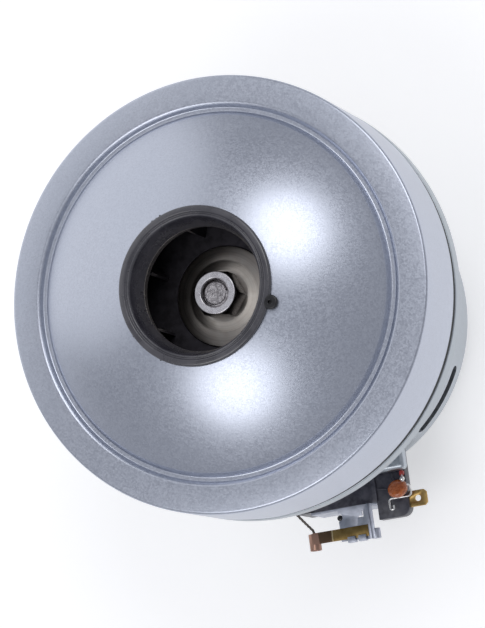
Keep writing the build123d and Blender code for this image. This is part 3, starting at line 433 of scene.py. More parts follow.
groups = {"spangle": buildSpangle(), "turned": buildTurned(), "wear": buildWear(),
          "mottle": buildMottle(), "stack": buildStack()}


def place(tree, group, **values):
    return addNode(tree, "ShaderNodeGroup", values, node_tree=groups[group])


def newFinish(name, inputs):
    material = bpy.data.materials.new(name)
    material.use_nodes = True
    shader = material.node_tree.nodes["Principled BSDF"]
    for key, value in inputs.items():
        shader.inputs[key].default_value = value
    return material, material.node_tree, shader


def feed(tree, shader, colour, rough, height, depth):
    # the depth of the relief is in millimetres
    tree.links.new(colour, shader.inputs["Base Color"])
    tree.links.new(rough, shader.inputs["Roughness"])
    bump = addNode(tree, "ShaderNodeBump", {"Height": height, "Distance": depth * mm, "Strength": 1.0})
    tree.links.new(bump[0], shader.inputs["Normal"])


def zincFinish(name, dark, light, rough, crystal, speckDark, cloudColour, cloudAmount, bump):
    material, tree, shader = newFinish(name, {"Metallic": 1.0})
    zinc = place(tree, "spangle", Crystal=crystal)
    edge = place(tree, "wear")
    base = blendColour(tree, zinc["Tone"], dark, light)
    base = tinted(tree, base, zinc["Cloud"], cloudAmount, cloudColour)
    base = tinted(tree, base, zinc["Specks"], speckDark, [c * 0.45 for c in dark])
    base = tinted(tree, base, edge["Mask"], 0.35, light)
    roughness = spread(tree, zinc["Tone"], 0.2, 0.8, rough - 0.05, rough + 0.06)
    feed(tree, shader, base, roughness, zinc["Height"], bump)
    return material


def turnedFinish(name, dark, light, rough, pitch, depth, anisotropic=0.0, tint=None):
    material, tree, shader = newFinish(name, {"Metallic": 1.0, "Anisotropic": anisotropic})
    rings = place(tree, "turned", Pitch=pitch)
    spots = place(tree, "mottle", Patch=2.0, Grain=0.25)
    base = blendColour(tree, spread(tree, rings["Tone"], 0.25, 0.75), dark, light)
    if tint:
        base = tinted(tree, base, spots["Tone"], 0.35, tint)
    if anisotropic:
        around = addNode(tree, "ShaderNodeTangent", direction_type="RADIAL", axis="Z")
        tree.links.new(around[0], shader.inputs["Tangent"])
    roughness = spread(tree, rings["Tone"], 0.2, 0.8, rough - 0.05, rough + 0.07)
    feed(tree, shader, base, roughness, rings["Height"], depth)
    return material


def grainRough(tree, spots, rough):
    return spread(tree, spots["Grain"], 0.0, 1.0, rough - 0.05, rough + 0.08)


def plainMetal(name, dark, light, rough, patch, grain, depth, edgeLight=0.3, stained=None):
    material, tree, shader = newFinish(name, {"Metallic": 1.0})
    spots = place(tree, "mottle", Patch=patch, Grain=grain)
    edge = place(tree, "wear")
    base = blendColour(tree, spots["Tone"], dark, light)
    if stained:
        base = tinted(tree, base, spots["Grain"], 0.35, stained)
    bright = [min(1.0, c * 1.35) for c in light]
    base = tinted(tree, base, edge["Mask"], edgeLight, bright)
    feed(tree, shader, base, grainRough(tree, spots, rough), spots["Height"], depth)
    return material


def plasticFinish(name, dark, light, rough, patch, grain, depth, worn=None, coat=0.0, coatRough=0.1,
                  specular=0.5):
    inputs = {"Coat Weight": coat, "Coat Roughness": coatRough, "Specular IOR Level": specular}
    material, tree, shader = newFinish(name, inputs)
    spots = place(tree, "mottle", Patch=patch, Grain=grain)
    base = blendColour(tree, spots["Tone"], dark, light)
    if worn:
        base = tinted(tree, base, place(tree, "wear")["Mask"], 0.6, worn)
    roughness = spread(tree, spots["Tone"], 0.0, 1.0, rough - 0.06, rough + 0.08)
    feed(tree, shader, base, roughness, spots["Height"], depth)
    return material


def stackFinish(name, dark, light, rough, soot):
    material, tree, shader = newFinish(name, {"Metallic": 0.85})
    sheets = place(tree, "stack", Pitch=0.5)
    spots = place(tree, "mottle", Patch=4.0, Grain=0.3)
    base = blendColour(tree, times(tree, sheets["Tone"], spots["Tone"]), dark, light)
    base = tinted(tree, base, spots["Grain"], 0.18, soot)
    roughness = spread(tree, spots["Tone"], 0.0, 1.0, rough, rough + 0.15)
    feed(tree, shader, base, roughness, sheets["Height"], 0.05)
    return material


def shadePaintedFinish(name, dark, light, paintedShadeBelow, rough, low, high):
    # painted shade: bright on the turned end face, dark on everything lower than that, standing in for the
    # shade on the nut's sides and chamfer
    material, tree, shader = newFinish(name, {"Metallic": 1.0})
    spots = place(tree, "mottle", Patch=1.2, Grain=0.15)
    face = blendColour(tree, spots["Tone"], dark, light)
    base = blendColour(tree, spread(tree, objectAxes(tree)[2], low * mm, high * mm), paintedShadeBelow, face)
    feed(tree, shader, base, grainRough(tree, spots, rough), spots["Height"], 0.01)
    return material


# where the strip changes colour, as the product of its two level coordinates in square millimetres
stripZones = {"sooty": (-100.0, -60.0), "lineStart": (-120.0, -108.0), "lineEnd": (-84.0, -96.0),
              "barrel": (225.0, 240.0)}


def stripFinish(name, dark, light, sooty, line, copper, rough):
    # olive brass, sooty next to the crimp and coppery on the barrel; the product is the same on both strips
    material, tree, shader = newFinish(name, {"Metallic": 1.0})
    spots = place(tree, "mottle", Patch=3.0, Grain=0.2)
    part = objectAxes(tree)
    side = times(tree, times(tree, part[0], part[1]), 1 / mm ** 2)
    zone = {key: spread(tree, side, *ends) for key, ends in stripZones.items()}
    base = blendColour(tree, spots["Tone"], dark, light)
    base = blendColour(tree, zone["sooty"], base, sooty)
    base = tinted(tree, base, times(tree, zone["lineStart"], zone["lineEnd"]), 0.7, line)
    base = blendColour(tree, zone["barrel"], base, copper)
    feed(tree, shader, base, grainRough(tree, spots, rough), spots["Height"], 0.01)
    return material


# Finishes by kind: colours from dark to light, roughness, then sizes in millimetres and what is special

recipes = {
    zincFinish: {
        "zincCover": ((0.42, 0.445, 0.52), (0.56, 0.59, 0.67), 0.33, 0.45, 0.35, (0.46, 0.5, 0.585), 0.3,
                      0.006),
        "zincCan": ((0.42, 0.455, 0.5), (0.53, 0.565, 0.61), 0.36, 0.5, 0.3, (0.45, 0.5, 0.53), 0.35, 0.006),
        "zincBracket": ((0.36, 0.39, 0.43), (0.46, 0.495, 0.535), 0.34, 0.5, 0.3, (0.39, 0.44, 0.47), 0.35,
                        0.006),
    },
    plainMetal: {
        "screwZinc": ((0.5, 0.51, 0.53), (0.66, 0.67, 0.69), 0.32, 1.5, 0.2, 0.01),
        "springSteel": ((0.3, 0.31, 0.33), (0.48, 0.49, 0.51), 0.35, 1.0, 0.1, 0.004),
        "shaftSteel": ((0.16, 0.15, 0.16), (0.52, 0.5, 0.52), 0.26, 0.9, 0.35, 0.16),
        # painted shade: the aluminium fan is coloured near black, the shade inside the eye
        "fanAluminium": ((0.03, 0.028, 0.034), (0.05, 0.047, 0.055), 0.45, 6.0, 0.3, 0.01, 1.0,
                         (0.05, 0.045, 0.045)),
        "tubeBrass": ((0.48, 0.36, 0.14), (0.68, 0.53, 0.24), 0.34, 2.5, 0.2, 0.008),
        "copperBraid": ((0.45, 0.21, 0.11), (0.7, 0.38, 0.22), 0.4, 0.5, 0.15, 0.02),
        "tabBrass": ((0.4, 0.25, 0.08), (0.6, 0.41, 0.16), 0.33, 2.2, 0.2, 0.008, 0.4, (0.25, 0.15, 0.06)),
        "clipZinc": ((0.34, 0.36, 0.42), (0.46, 0.48, 0.55), 0.38, 3.0, 0.25, 0.006, 0.4),
        "tinnedWire": ((0.56, 0.55, 0.54), (0.8, 0.79, 0.78), 0.22, 0.8, 0.1, 0.004),
    },
    turnedFinish: {
        "bearingSteel": ((0.55, 0.56, 0.58), (0.72, 0.73, 0.75), 0.2, 0.3, 0.003),
        "turnedDisc": ((0.34, 0.32, 0.3), (0.56, 0.53, 0.49), 0.33, 0.22, 0.004, 0.75, (0.3, 0.24, 0.2)),
        "spacerSteel": ((0.35, 0.35, 0.35), (0.55, 0.55, 0.55), 0.35, 0.3, 0.01),
        "commutatorCopper": ((0.46, 0.22, 0.12), (0.72, 0.38, 0.22), 0.28, 0.35, 0.01, 0.0,
                             (0.14, 0.08, 0.06)),
    },
    shadePaintedFinish: {
        # painted shade: the nut is near black below its end face
        "nutSteel": ((0.6, 0.58, 0.61), (0.8, 0.79, 0.82), (0.055, 0.045, 0.048), 0.27, 105.55, 105.95),
    },
    stripFinish: {
        "stripBrass": ((0.2, 0.13, 0.045), (0.33, 0.23, 0.09), (0.13, 0.085, 0.055), (0.7, 0.6, 0.4),
                       (0.36, 0.22, 0.17), 0.36),
    },
    stackFinish: {
        "coreStack": ((0.12, 0.12, 0.13), (0.3, 0.3, 0.31), 0.42, (0.16, 0.07, 0.03)),
    },
    plasticFinish: {
        "sealRubber": ((0.03, 0.029, 0.038), (0.056, 0.054, 0.066), 0.27, 6.0, 0.22, 0.008,
                       (0.06, 0.06, 0.07), 0.0, 0.1, 0.9),
        "sealFlash": ((0.006, 0.006, 0.008), (0.014, 0.014, 0.017), 0.3, 2.0, 0.15, 0.02),
        "gasketRubber": ((0.012, 0.012, 0.014), (0.025, 0.025, 0.028), 0.7, 4.0, 0.25, 0.02),
        "diffuserPlastic": ((0.03, 0.03, 0.032), (0.05, 0.05, 0.053), 0.5, 6.0, 0.3, 0.01),
        "cageNylon": ((0.55, 0.47, 0.3), (0.72, 0.66, 0.48), 0.45, 1.5, 0.2, 0.005),
        "enamelWire": ((0.3, 0.085, 0.025), (0.5, 0.18, 0.06), 0.28, 1.2, 0.2, 0.01, None, 0.6, 0.12),
        "insulatingBoard": ((0.5, 0.41, 0.24), (0.72, 0.62, 0.42), 0.6, 3.0, 0.2, 0.02),
        "shaftSleeve": ((0.3, 0.05, 0.03), (0.42, 0.09, 0.05), 0.5, 2.0, 0.2, 0.01),
        "commutatorResin": ((0.045, 0.03, 0.022), (0.08, 0.052, 0.036), 0.35, 2.0, 0.15, 0.008),
        "brushCarbon": ((0.022, 0.022, 0.024), (0.055, 0.055, 0.058), 0.55, 0.8, 0.12, 0.02),
        "holderResin": ((0.01, 0.01, 0.02), (0.026, 0.026, 0.044), 0.36, 3.5, 0.22, 0.012,
                        (0.09, 0.09, 0.11)),
        "leadVarnish": ((0.07, 0.055, 0.045), (0.17, 0.145, 0.12), 0.34, 0.9, 0.12, 0.02, None, 0.3, 0.2),
        "capacitorEpoxy": ((0.3, 0.055, 0.006), (0.56, 0.14, 0.016), 0.25, 1.2, 0.2, 0.02, None, 0.7, 0.04,
                           0.7),
        "redSleeve": ((0.34, 0.02, 0.02), (0.5, 0.05, 0.04), 0.4, 1.0, 0.12, 0.008, None, 0.3, 0.2),
    },
}
finish = {}
for kind, looks in recipes.items():
    for name, values in looks.items():
        finish[name] = kind(name, *values)
print("finishes built:", len(finish))

# Geometry Nodes trees for what repeats

def newGeometryTree(name, inputs):
    tree = bpy.data.node_groups.new(name, "GeometryNodeTree")
    for key, kind in inputs.items():
        tree.interface.new_socket(name=key, in_out="INPUT", socket_type="NodeSocket" + kind)
    tree.interface.new_socket(name="Geometry", in_out="OUTPUT", socket_type="NodeSocketGeometry")
    return tree, addNode(tree, "NodeGroupInput")


def closeTree(tree, shape, material):
    # every tree ends in real geometry with its finish set
    real = addNode(tree, "GeometryNodeRealizeInstances", {0: shape})[0]
    dressed = addNode(tree, "GeometryNodeSetMaterial", {"Geometry": real, "Material": material})[0]
    tree.links.new(dressed, tree.nodes.new("NodeGroupOutput").inputs[0])


def randomBetween(tree, low, high, seed):
    values = {2: low, 3: high, "Seed": seed}
    return addNode(tree, "FunctionNodeRandomValue", values, data_type="FLOAT")[1]


def buildScatter():
    # puts a piece at each point of a base mesh, its own Z along the point's "facing"
    tree, given = newGeometryTree("setOut", {
        "Places": "Geometry", "Piece": "Object", "Finish": "Material", "Size": "Float", "Turn": "Float",
        "Vary": "Float", "Seed": "Int"})
    points = addNode(tree, "GeometryNodeMeshToPoints", {"Mesh": given["Places"]})[0]
    way = {"Name": "facing"}
    facing = addNode(tree, "GeometryNodeInputNamedAttribute", way, data_type="FLOAT_VECTOR")[0]
    upright = addNode(tree, "FunctionNodeAlignRotationToVector", {"Vector": facing}, axis="Z")[0]
    spin = randomBetween(tree, times(tree, given["Turn"], -1.0), given["Turn"], given["Seed"])
    turn = addNode(tree, "ShaderNodeCombineXYZ", {2: spin})[0]
    local = addNode(tree, "FunctionNodeEulerToRotation", {0: turn})[0]
    turns = {0: upright, 1: local}
    rotation = addNode(tree, "FunctionNodeRotateRotation", turns, rotation_space="LOCAL")[0]
    piece = addNode(tree, "GeometryNodeObjectInfo", {"Object": given["Piece"]})["Geometry"]
    smaller = calc(tree, "SUBTRACT", given["Size"], given["Vary"])
    size = randomBetween(tree, smaller, given["Size"], given["Seed"])
    copies = {"Points": points, "Instance": piece, "Rotation": rotation, "Scale": size}
    copies = addNode(tree, "GeometryNodeInstanceOnPoints", copies)[0]
    closeTree(tree, copies, given["Finish"])
    return tree


scatterTree = buildScatter()


def setInputs(modifier, values):
    for item in modifier.node_group.interface.items_tree:
        if item.item_type == "SOCKET" and item.in_out == "INPUT" and item.name in values:
            modifier[item.identifier] = values[item.name]


def setOut(name, places, piece, look, turn=0.0, vary=0.0, seed=3):
    # places are (point, facing) in millimetres; the piece itself is removed afterwards
    mesh = bpy.data.meshes.new(name)
    mesh.from_pydata([Vector(p) * mm for p, f in places], [], [])
    facing = mesh.attributes.new("facing", "FLOAT_VECTOR", "POINT")
    for i, (p, f) in enumerate(places):
        facing.data[i].vector = Vector(f).normalized()
    obj = linkObject(name, mesh)
    rule = obj.modifiers.new("setOut", "NODES")
    rule.node_group = scatterTree
    setInputs(rule, {"Piece": piece, "Finish": finish[look], "Size": 1.0, "Turn": turn, "Vary": vary,
                     "Seed": seed})
    applied(obj)
    bpy.data.objects.remove(piece)
    smoothBy(obj.data, 35)
    return obj


def buildTwist(strands):
    # strands wound round one another along a route
    tree, given = newGeometryTree("twistedStrands", {
        "Route": "Geometry", "Strand Radius": "Float", "Twist Radius": "Float", "Turns": "Float",
        "Points": "Int", "Finish": "Material"})
    even = {"Curve": given["Route"], "Count": given["Points"]}
    route = addNode(tree, "GeometryNodeResampleCurve", even)[0]
    along = addNode(tree, "GeometryNodeSplineParameter")["Factor"]
    normal = addNode(tree, "GeometryNodeInputNormal")[0]
    tangent = addNode(tree, "GeometryNodeInputTangent")[0]
    pair = {0: tangent, 1: normal}
    across = addNode(tree, "ShaderNodeVectorMath", pair, operation="CROSS_PRODUCT")[0]
    ring = {"Resolution": 8, "Radius": given["Strand Radius"]}
    section = addNode(tree, "GeometryNodeCurvePrimitiveCircle", ring)[0]
    together = tree.nodes.new("GeometryNodeJoinGeometry")
    for strand in range(strands):
        start = 2 * math.pi * strand / strands
        phase = calc(tree, "MULTIPLY_ADD", along, times(tree, given["Turns"], 2 * math.pi), start)
        a = scaled(tree, normal, calc(tree, "COSINE", phase))
        b = scaled(tree, across, calc(tree, "SINE", phase))
        out = addNode(tree, "ShaderNodeVectorMath", {0: a, 1: b}, operation="ADD")[0]
        offset = {"Geometry": route, "Offset": scaled(tree, out, given["Twist Radius"])}
        wound = addNode(tree, "GeometryNodeSetPosition", offset)[0]
        swept = {"Curve": wound, "Profile Curve": section, "Fill Caps": True}
        tree.links.new(addNode(tree, "GeometryNodeCurveToMesh", swept)[0], together.inputs[0])
    closeTree(tree, together.outputs[0], given["Finish"])
    return tree


def windStrands(name, routes, strands, settings, look):
    # routes are lists of points in millimetres
    curve = assign(bpy.data.curves.new(name, "CURVE"), dimensions="3D", twist_mode="MINIMUM")
    for route in routes:
        spline = curve.splines.new("POLY")
        spline.points.add(len(route) - 1)
        for point, corner in zip(spline.points, route):
            point.co = (*(Vector(corner) * mm), 1.0)
    obj = linkObject(name, curve)
    rule = obj.modifiers.new("strands", "NODES")
    rule.node_group = buildTwist(strands)
    setInputs(rule, {"Strand Radius": settings["strand"] * mm, "Twist Radius": settings["twist"] * mm,
                     "Turns": settings["turns"], "Points": settings["points"], "Finish": finish[look]})
    obj = applied(obj)
    tidyMesh(obj.data)
    smoothBy(obj.data, 50)
    return obj


# Fan cover

# corners are radius, level and the bend there
cover = {"wall": 0.8, "corners": [
    (67.5, 79.0, 0), (67.5, 88.0, 0), (67.5, 97.0, 0), (67.5, 105.55, 1.0), (58.6, 106.3, 1.4),
    (57.4, 104.8, 0.6), (56.1, 104.8, 0.6), (54.9, 106.8, 1.1)]}
domeRule = {"foot": (54.9, 106.8), "edge": (22.2, 122.2), "bulge": 2.0, "steps": 40}


def domeArc(foot, edge, bulge, steps):
    # a shallow arc from the dome's foot to the hole for the eye
    a, b = Vector(foot), Vector(edge)
    chord = (b - a).length
    radius = (chord * chord / 4 + bulge * bulge) / (2 * bulge)
    out = Vector((b.y - a.y, a.x - b.x)).normalized()
    centre = (a + b) / 2 - out * (radius - bulge)
    a0 = math.atan2(a.y - centre.y, a.x - centre.x)
    a1 = math.atan2(b.y - centre.y, b.x - centre.x)
    angles = [a0 + (a1 - a0) * k / steps for k in range(steps + 1)]
    return [(centre.x + radius * math.cos(a), centre.y + radius * math.sin(a)) for a in angles]


dome = domeArc(**domeRule)
coverCorners = cover["corners"] + [(r, z, 0) for r, z in dome[2:]]
settle(sheetLathe("fanCover", coverCorners, cover["wall"], 288, 38), "zincCover", "zinc_sheet", "fan_cover")
print("fan cover spun")

# Inlet seal, with its small ear and the flash left by its mould

seal = {
    "foot": [(19.0, 115.6, 0.15), (20.2, 115.6, 0.3)],
    "aboveDome": [(23.6, -2.15, 0.3), (23.6, -0.95, 0.25), (22.0, -0.95, 0.1), (22.0, 0.05, 0),
                  (24.4, 0.05, 0.12)],
    "lip": [(24.4, 123.75, 0.8), (22.6, 124.0, 0.5), (22.0, 123.3, 0.25), (21.4, 123.95, 0.4),
            (20.8, 123.1, 0.4), (20.0, 120.6, 1.5), (19.25, 117.4, 1.0), (19.0, 116.5, 0.3)],
}
ear = {"angle": -22.0, "reach": 25.0, "radius": 2.25, "hole": 0.6, "depth": 1.2, "top": 123.9,
       "inside": 23.4}
nib = {"reach": 24.3, "lean": 0.25,
       "outline": [(0.0, -0.4, 0), (0.32, -0.4, 0), (0.28, 0.3, 0.1), (0.0, 0.42, 0)],
       "places": [(116.0, 123.2), (112.5, 123.0), (109.0, 123.3), (208.0, 122.6), (236.0, 123.0)]}
domeSlope = (dome[-2][1] - dome[-1][1]) / (dome[-1][0] - dome[-2][0])


def aboveDome(radius, rise, bend):
    # a corner at a height measured from the line of the dome's last step
    return radius, domeRule["edge"][1] + domeSlope * (radius - domeRule["edge"][0]) + rise, bend


under = (21.8, aboveDome(22.0, -3.35, 0)[1], 0.5)
sealCorners = seal["foot"] + [under] + [aboveDome(*corner) for corner in seal["aboveDome"]] + seal["lip"]
inletSeal = lathe("inletSeal", roundedOutline(sealCorners, stepAngle=14.0, chord=0.8), 224, 30)
settle(inletSeal, "sealRubber", "seal_rubber", "inlet_seal")

earLow = aboveDome(ear["inside"], 0.05, 0)[1]
earOutline = [
    (0.0, earLow, 0), (ear["radius"], earLow, 0.2), (ear["radius"], ear["top"], 0.5),
    (ear["hole"], ear["top"], 0.2), (ear["hole"], ear["top"] - ear["depth"], 0.1),
    (0.0, ear["top"] - ear["depth"], 0),
]
sealEar = lathe("sealEar", roundedOutline(earOutline), 28, 35)
sealEar.data.transform(shiftedBy(*polar(ear["reach"], ear["angle"])))
settle(sealEar, "sealFlash", "seal_rubber")

nibPlaces = [(polar(nib["reach"], a, z), polar(1.0, a, nib["lean"])) for a, z in nib["places"]]
nibPiece = lathe("nib", roundedOutline(nib["outline"], chord=0.1), 10, 40)
settle(setOut("sealNibs", nibPlaces, nibPiece, "sealFlash", turn=1.5, vary=0.35, seed=11), "sealFlash",
       "seal_rubber")
print("inlet seal done")

# Shaft end, nut and the turned disc behind it

nut = {"flats": 13.0, "low": 98.2, "top": 106.2, "bore": 4.15, "faceRadius": 6.45, "turn": -8.0,
       "chamferSlope": 1.15, "boreChamfer": 0.5, "edge": 0.12, "cutter": (10, 20, 20)}


def makeNut(flats, low, top, bore, faceRadius, turn, chamferSlope, boreChamfer, edge, cutter):
    # a turned blank, its six flats cut by boxes beside it
    corner = flats / math.sqrt(3)
    outline = [
        (bore + 0.45, low, 0), (corner, low, 0.3), (corner, top - (corner - faceRadius) * chamferSlope, 0.2),
        (faceRadius, top, 0.35), (bore + boreChamfer, top, 0.25), (bore, top - boreChamfer, 0.1),
        (bore, low + boreChamfer, 0.1),
    ]
    body = lathe("shaftNut", roundedOutline(outline), 144, 30)
    beside = shiftedBy(flats / 2 + cutter[0] / 2, 0, (low + top) / 2) @ sizedTo(*cutter)
    boxes = boxCutter([turnedBy(turn + 30 + 60 * k) @ beside for k in range(6)])
    cutBy(body, boxes, crossing=True)
    softenEdges(body, edge, 32)
    applied(body)
    bpy.data.objects.remove(boxes)
    smoothBy(body.data, 30)
    return body


settle(makeNut(**nut), "nutSteel", "nut_steel", "shaft_nut", body="rotor")

# the end face is slightly hollow
shaftCorners = [
    (0.0, 1.5, 0), (3.5, 1.5, 0), (4.0, 2.0, 0.1), (4.0, 97.0, 0.1), (3.72, 97.3, 0.1), (3.72, 105.4, 0.15),
    (3.3, 105.85, 0.2), (2.4, 105.8, 0), (1.2, 105.73, 0), (0.0, 105.75, 0),
]
shaftRod = lathe("shaftRod", roundedOutline(shaftCorners), 96)
settle(shaftRod, "shaftSteel", "shaft_steel", "shaft", body="rotor")
threads = {"strand": 0.42, "twist": 3.82, "turns": 7, "points": 260, "levels": (97.8, 101.5, 105.25)}
threadRoute = [(0, 0, level) for level in threads["levels"]]
shaftThread = windStrands("shaftThread", [threadRoute], 1, threads, "shaftSteel")
settle(shaftThread, "shaftSteel", "shaft_steel", body="rotor")

discCorners = [
    (4.05, 96.5, 0), (15.7, 96.5, 0.15), (15.7, 97.2, 0.3), (11.2, 97.5, 4.0), (8.0, 98.2, 2.0),
    (4.05, 98.2, 0),
]
clampDisc = lathe("clampDisc", roundedOutline(discCorners), 192, 30)
settle(clampDisc, "turnedDisc", "disc_steel", "clamp_disc", body="rotor")
print("shaft end done")

# Impeller

# the fan's near-black colour is painted shade for the dark inside of the eye
for node, name in (("shroud", "fanShroud"), ("back_plate", "fanPlate"), ("blades", "fanBlades")):
    piece = dressCopy("impeller_" + node, name, smooth=30)
    settle(piece, "fanAluminium", "fan_aluminium", "impeller_" + node, body="rotor")
rivet = {"radius": 1.1, "height": 0.45, "foot": 0.15}
rivetRows = {"perBlade": 3, "inner": 24.0, "outer": 52.0, "level": 95.5, "sweep": 52.0, "bladeInner": 19.9,
             "bladeOuter": 55.0, "blades": 7}


def rivetPlaces(perBlade, inner, outer, level, sweep, bladeInner, bladeOuter, blades):
    # rivets sit on the blades' line, on the outer face of the back plate
    places = []
    for blade in range(blades):
        for k in range(perBlade):
            radius = inner + (outer - inner) * (k + 0.5) / perBlade
            back = sweep * (radius - bladeInner) / (bladeOuter - bladeInner)
            places.append((polar(radius, 360 * blade / blades - back, level), (0, 0, -1)))
    return places


def domedHead(name, radius, height, foot):
    outline = [(0.0, -foot), (radius, -foot)]
    for angle in (0, 18, 38, 58, 76):
        a = math.radians(angle)
        outline.append((radius * math.cos(a), height * math.sin(a)))
    return lathe(name, outline + [(0.0, height)], 20, 40)


fanRivets = setOut("fanRivets", rivetPlaces(**rivetRows), domedHead("rivet", **rivet), "fanAluminium")
settle(fanRivets, "fanAluminium", "fan_aluminium", body="rotor")
print("fan dressed")

# Motor can, bracket, gasket and screws

settle(dressCopy("motor_can", "motorCan", smooth=28), "zincCan", "zinc_can", "motor_can")
band = {"back": 66.8, "top": 75.7, "sheet": 0.3,
        "corners": [(66.5, 71.0, 0), (67.5, 71.0, 0.25), (67.5, 76.0, 0.4), (64.0, 76.02, 0)]}
frontBracket = dressCopy("front_bracket", "frontBracket", smooth=28)
for vertex in frontBracket.data.vertices:
    across = math.hypot(vertex.co.x, vertex.co.y)
    if across > (band["back"] + 0.1) * mm:
        vertex.co.x *= band["back"] * mm / across
        vertex.co.y *= band["back"] * mm / across
        vertex.co.z = min(vertex.co.z, band["top"] * mm)
settle(frontBracket, "zincBracket", "zinc_can", "front_bracket")
# the band's rolled outer face, drawn finer than the copy
settle(sheetLathe("bracketBand", band["corners"], band["sheet"], 288, 30), "zincBracket", "zinc_can")
gasketCorners = [(60.0, 76.05, 0), (67.2, 76.05, 0.1), (67.2, 78.95, 0.1), (60.0, 78.95, 0)]
coverGasket = lathe("coverGasket", roundedOutline(gasketCorners), 192)
settle(coverGasket, "gasketRubber", "gasket_rubber", "cover_gasket")

flangeScrew = {"head": 3.6, "height": 2.3, "shank": 2.0, "slotWidth": 0.9, "slotDepth": 1.1, "length": 2.3}
flange = {"reach": 58.2, "level": 74.1, "angles": (45, 135, 225, 315)}
holderScrew = {"head": 2.7, "height": 1.6, "shank": 1.5, "slotWidth": 0.7, "slotDepth": 0.8, "length": 3.6}
holder = {"across": 6.0, "reach": 55.3, "level": 33.1}
crossArms = {0: 1.15, 90: 0.95}  # the recess's arms by their angle, as shares of the head's radius


def panScrew(name, head, height, shank, slotWidth, slotDepth, length):
    # the head's seat is at 0 and it stands up along +Z
    outline = [
        (0.0, -length, 0), (shank, -length, 0.1), (shank, 0.0, 0), (head, 0.0, 0.15),
        (head, height * 0.55, 0.5), (head * 0.72, height, head * 0.5), (0.0, height, 0),
    ]
    body = lathe(name, roundedOutline(outline, chord=0.5), 40)
    over = 2.0  # how far the cutter stands out of the head
    for angle, share in crossArms.items():
        size = sizedTo(head * share, slotWidth, slotDepth + over)
        cutter = boxCutter([turnedBy(angle) @ shiftedBy(0, 0, height - slotDepth / 2 + over / 2) @ size])
        cutBy(body, cutter)
        applied(body)
        bpy.data.objects.remove(cutter)
    return body


flangePlaces = [(polar(flange["reach"], a, flange["level"]), (0, 0, -1)) for a in flange["angles"]]
holderPlaces = [((x, side * holder["reach"], holder["level"]), (0, side, 0))
                for side in (-1, 1) for x in (-holder["across"], holder["across"])]
flangeScrews = setOut("flangeScrews", flangePlaces, panScrew("flangeScrew", **flangeScrew), "screwZinc",
                      turn=1.2, seed=5)
settle(flangeScrews, "screwZinc", "screw_steel", "flange_screws")
holderScrews = setOut("holderScrews", holderPlaces, panScrew("holderScrew", **holderScrew), "screwZinc",
                      turn=1.2, seed=9)
settle(holderScrews, "screwZinc", "screw_steel", "holder_screws")
print("can and screws dressed")

# Field coils, wound wire by wire in their outer layer

coil = {"inner": 28.2, "outer": 41.1, "rear": 37.2, "front": 66.8, "riseLow": 0.7, "riseHigh": 5.7,
        "near": 40.5, "far": 87.1, "wire": 0.62, "corner": 1.5, "bowSteps": 24, "legSteps": 4,
        "cornerShare": 0.3, "turns": (10, 4)}  # the last turn's number across and deep


def coilQuarter(radius, side, reach, start, end):
    # one corner, a straight leg from level start to level end, and the corner at its other end
    bend = math.copysign(coil["corner"], end - start)
    edge = math.degrees(coil["corner"] / radius) * coil["cornerShare"]
    leg = end - start - 2 * bend
    points = [polar(radius, side * (reach - edge), start + bend * coil["cornerShare"])]
    points += [polar(radius, side * reach, start + bend + leg * k / coil["legSteps"])
               for k in range(coil["legSteps"] + 1)]
    return points + [polar(radius, side * (reach - edge), end - bend * coil["cornerShare"])]


def between(low, high, share):
    return coil[low] + (coil[high] - coil[low]) * share


def coilLoop(across, deep):
    # one turn of wire: round the pole over both ends and through both windows
    radius = between("inner", "outer", across)
    rise = between("riseLow", "riseHigh", deep)
    reach = between("near", "far", deep)
    low = coil["rear"] - rise
    high = coil["front"] + rise
    bow = reach - math.degrees(coil["corner"] / radius)
    sweep = [-bow + 2 * bow * k / coil["bowSteps"] for k in range(coil["bowSteps"] + 1)]
    points = [polar(radius, angle, low) for angle in sweep]
    points += coilQuarter(radius, 1, reach, low, high)
    points += [polar(radius, -angle, high) for angle in sweep]
    points += coilQuarter(radius, -1, reach, high, low)
    return tube(points, coil["wire"], 6, closed=True)


def makeCoil(name, turn):
    rings = []
    lastAcross, lastDeep = coil["turns"]
    for i in range(lastAcross + 1):
        for j in range(lastDeep + 1):
            if i in (0, lastAcross) or j in (0, lastDeep):
                rings.append(moved(coilLoop(i / lastAcross, j / lastDeep), turnedBy(turn)))
    return makePiece(name, *joinShapes(rings), smooth=60)


settle(makeCoil("fieldCoilRight", 0), "enamelWire", "coil_copper", "field_coil_right")
settle(makeCoil("fieldCoilLeft", 180), "enamelWire", "coil_copper", "field_coil_left")
print("field coils wound")

# Armature windings: each slot's wires cross over the end to another slot

armature = {"slots": 22, "span": 150.0, "slotRadius": 16.5, "waist": 8.4, "wire": 0.5, "layers": 4,
            "layerStep": 0.95, "waistStep": 0.9, "steps": 16}
armatureEnds = {"front": (66.9, 6.2, 1), "rear": (37.1, 4.8, -1)}  # level, height and which way is out


def endWires(level, height, up, slots, span, slotRadius, waist, wire, layers, layerStep, waistStep, steps):
    wires = []
    for slot in range(slots):
        for layer in range(layers):
            outer = slotRadius + layerStep * (layer - 1.2)
            points = []
            for k in range(steps + 1):
                t = k / steps
                radius = outer - (outer - waist - waistStep * layer) * math.sin(math.pi * t)
                wave = 0.25 + 0.16 * layer + 0.17 * math.sin(2 * math.pi * t + layer)
                lift = height * wave * min(1.0, 4 * t, 4 * (1 - t))
                points.append(polar(radius, 360 * slot / slots + span * t, level + up * lift))
            wires.append(tube(points, wire, 5))
    return wires


allWires = endWires(*armatureEnds["front"], **armature) + endWires(*armatureEnds["rear"], **armature)
armatureWires = makePiece("armatureWinding", *joinShapes(allWires), smooth=60)
windingBed = dressCopy("armature_winding", "armatureWindingBed", smooth=30)
settle(armatureWires, "enamelWire", "coil_copper", body="rotor")
settle(windingBed, "enamelWire", "coil_copper", "armature_winding", body="rotor")
print("armature wound")

# Brush gear. It is built on the -Y side and turned half round for the other side

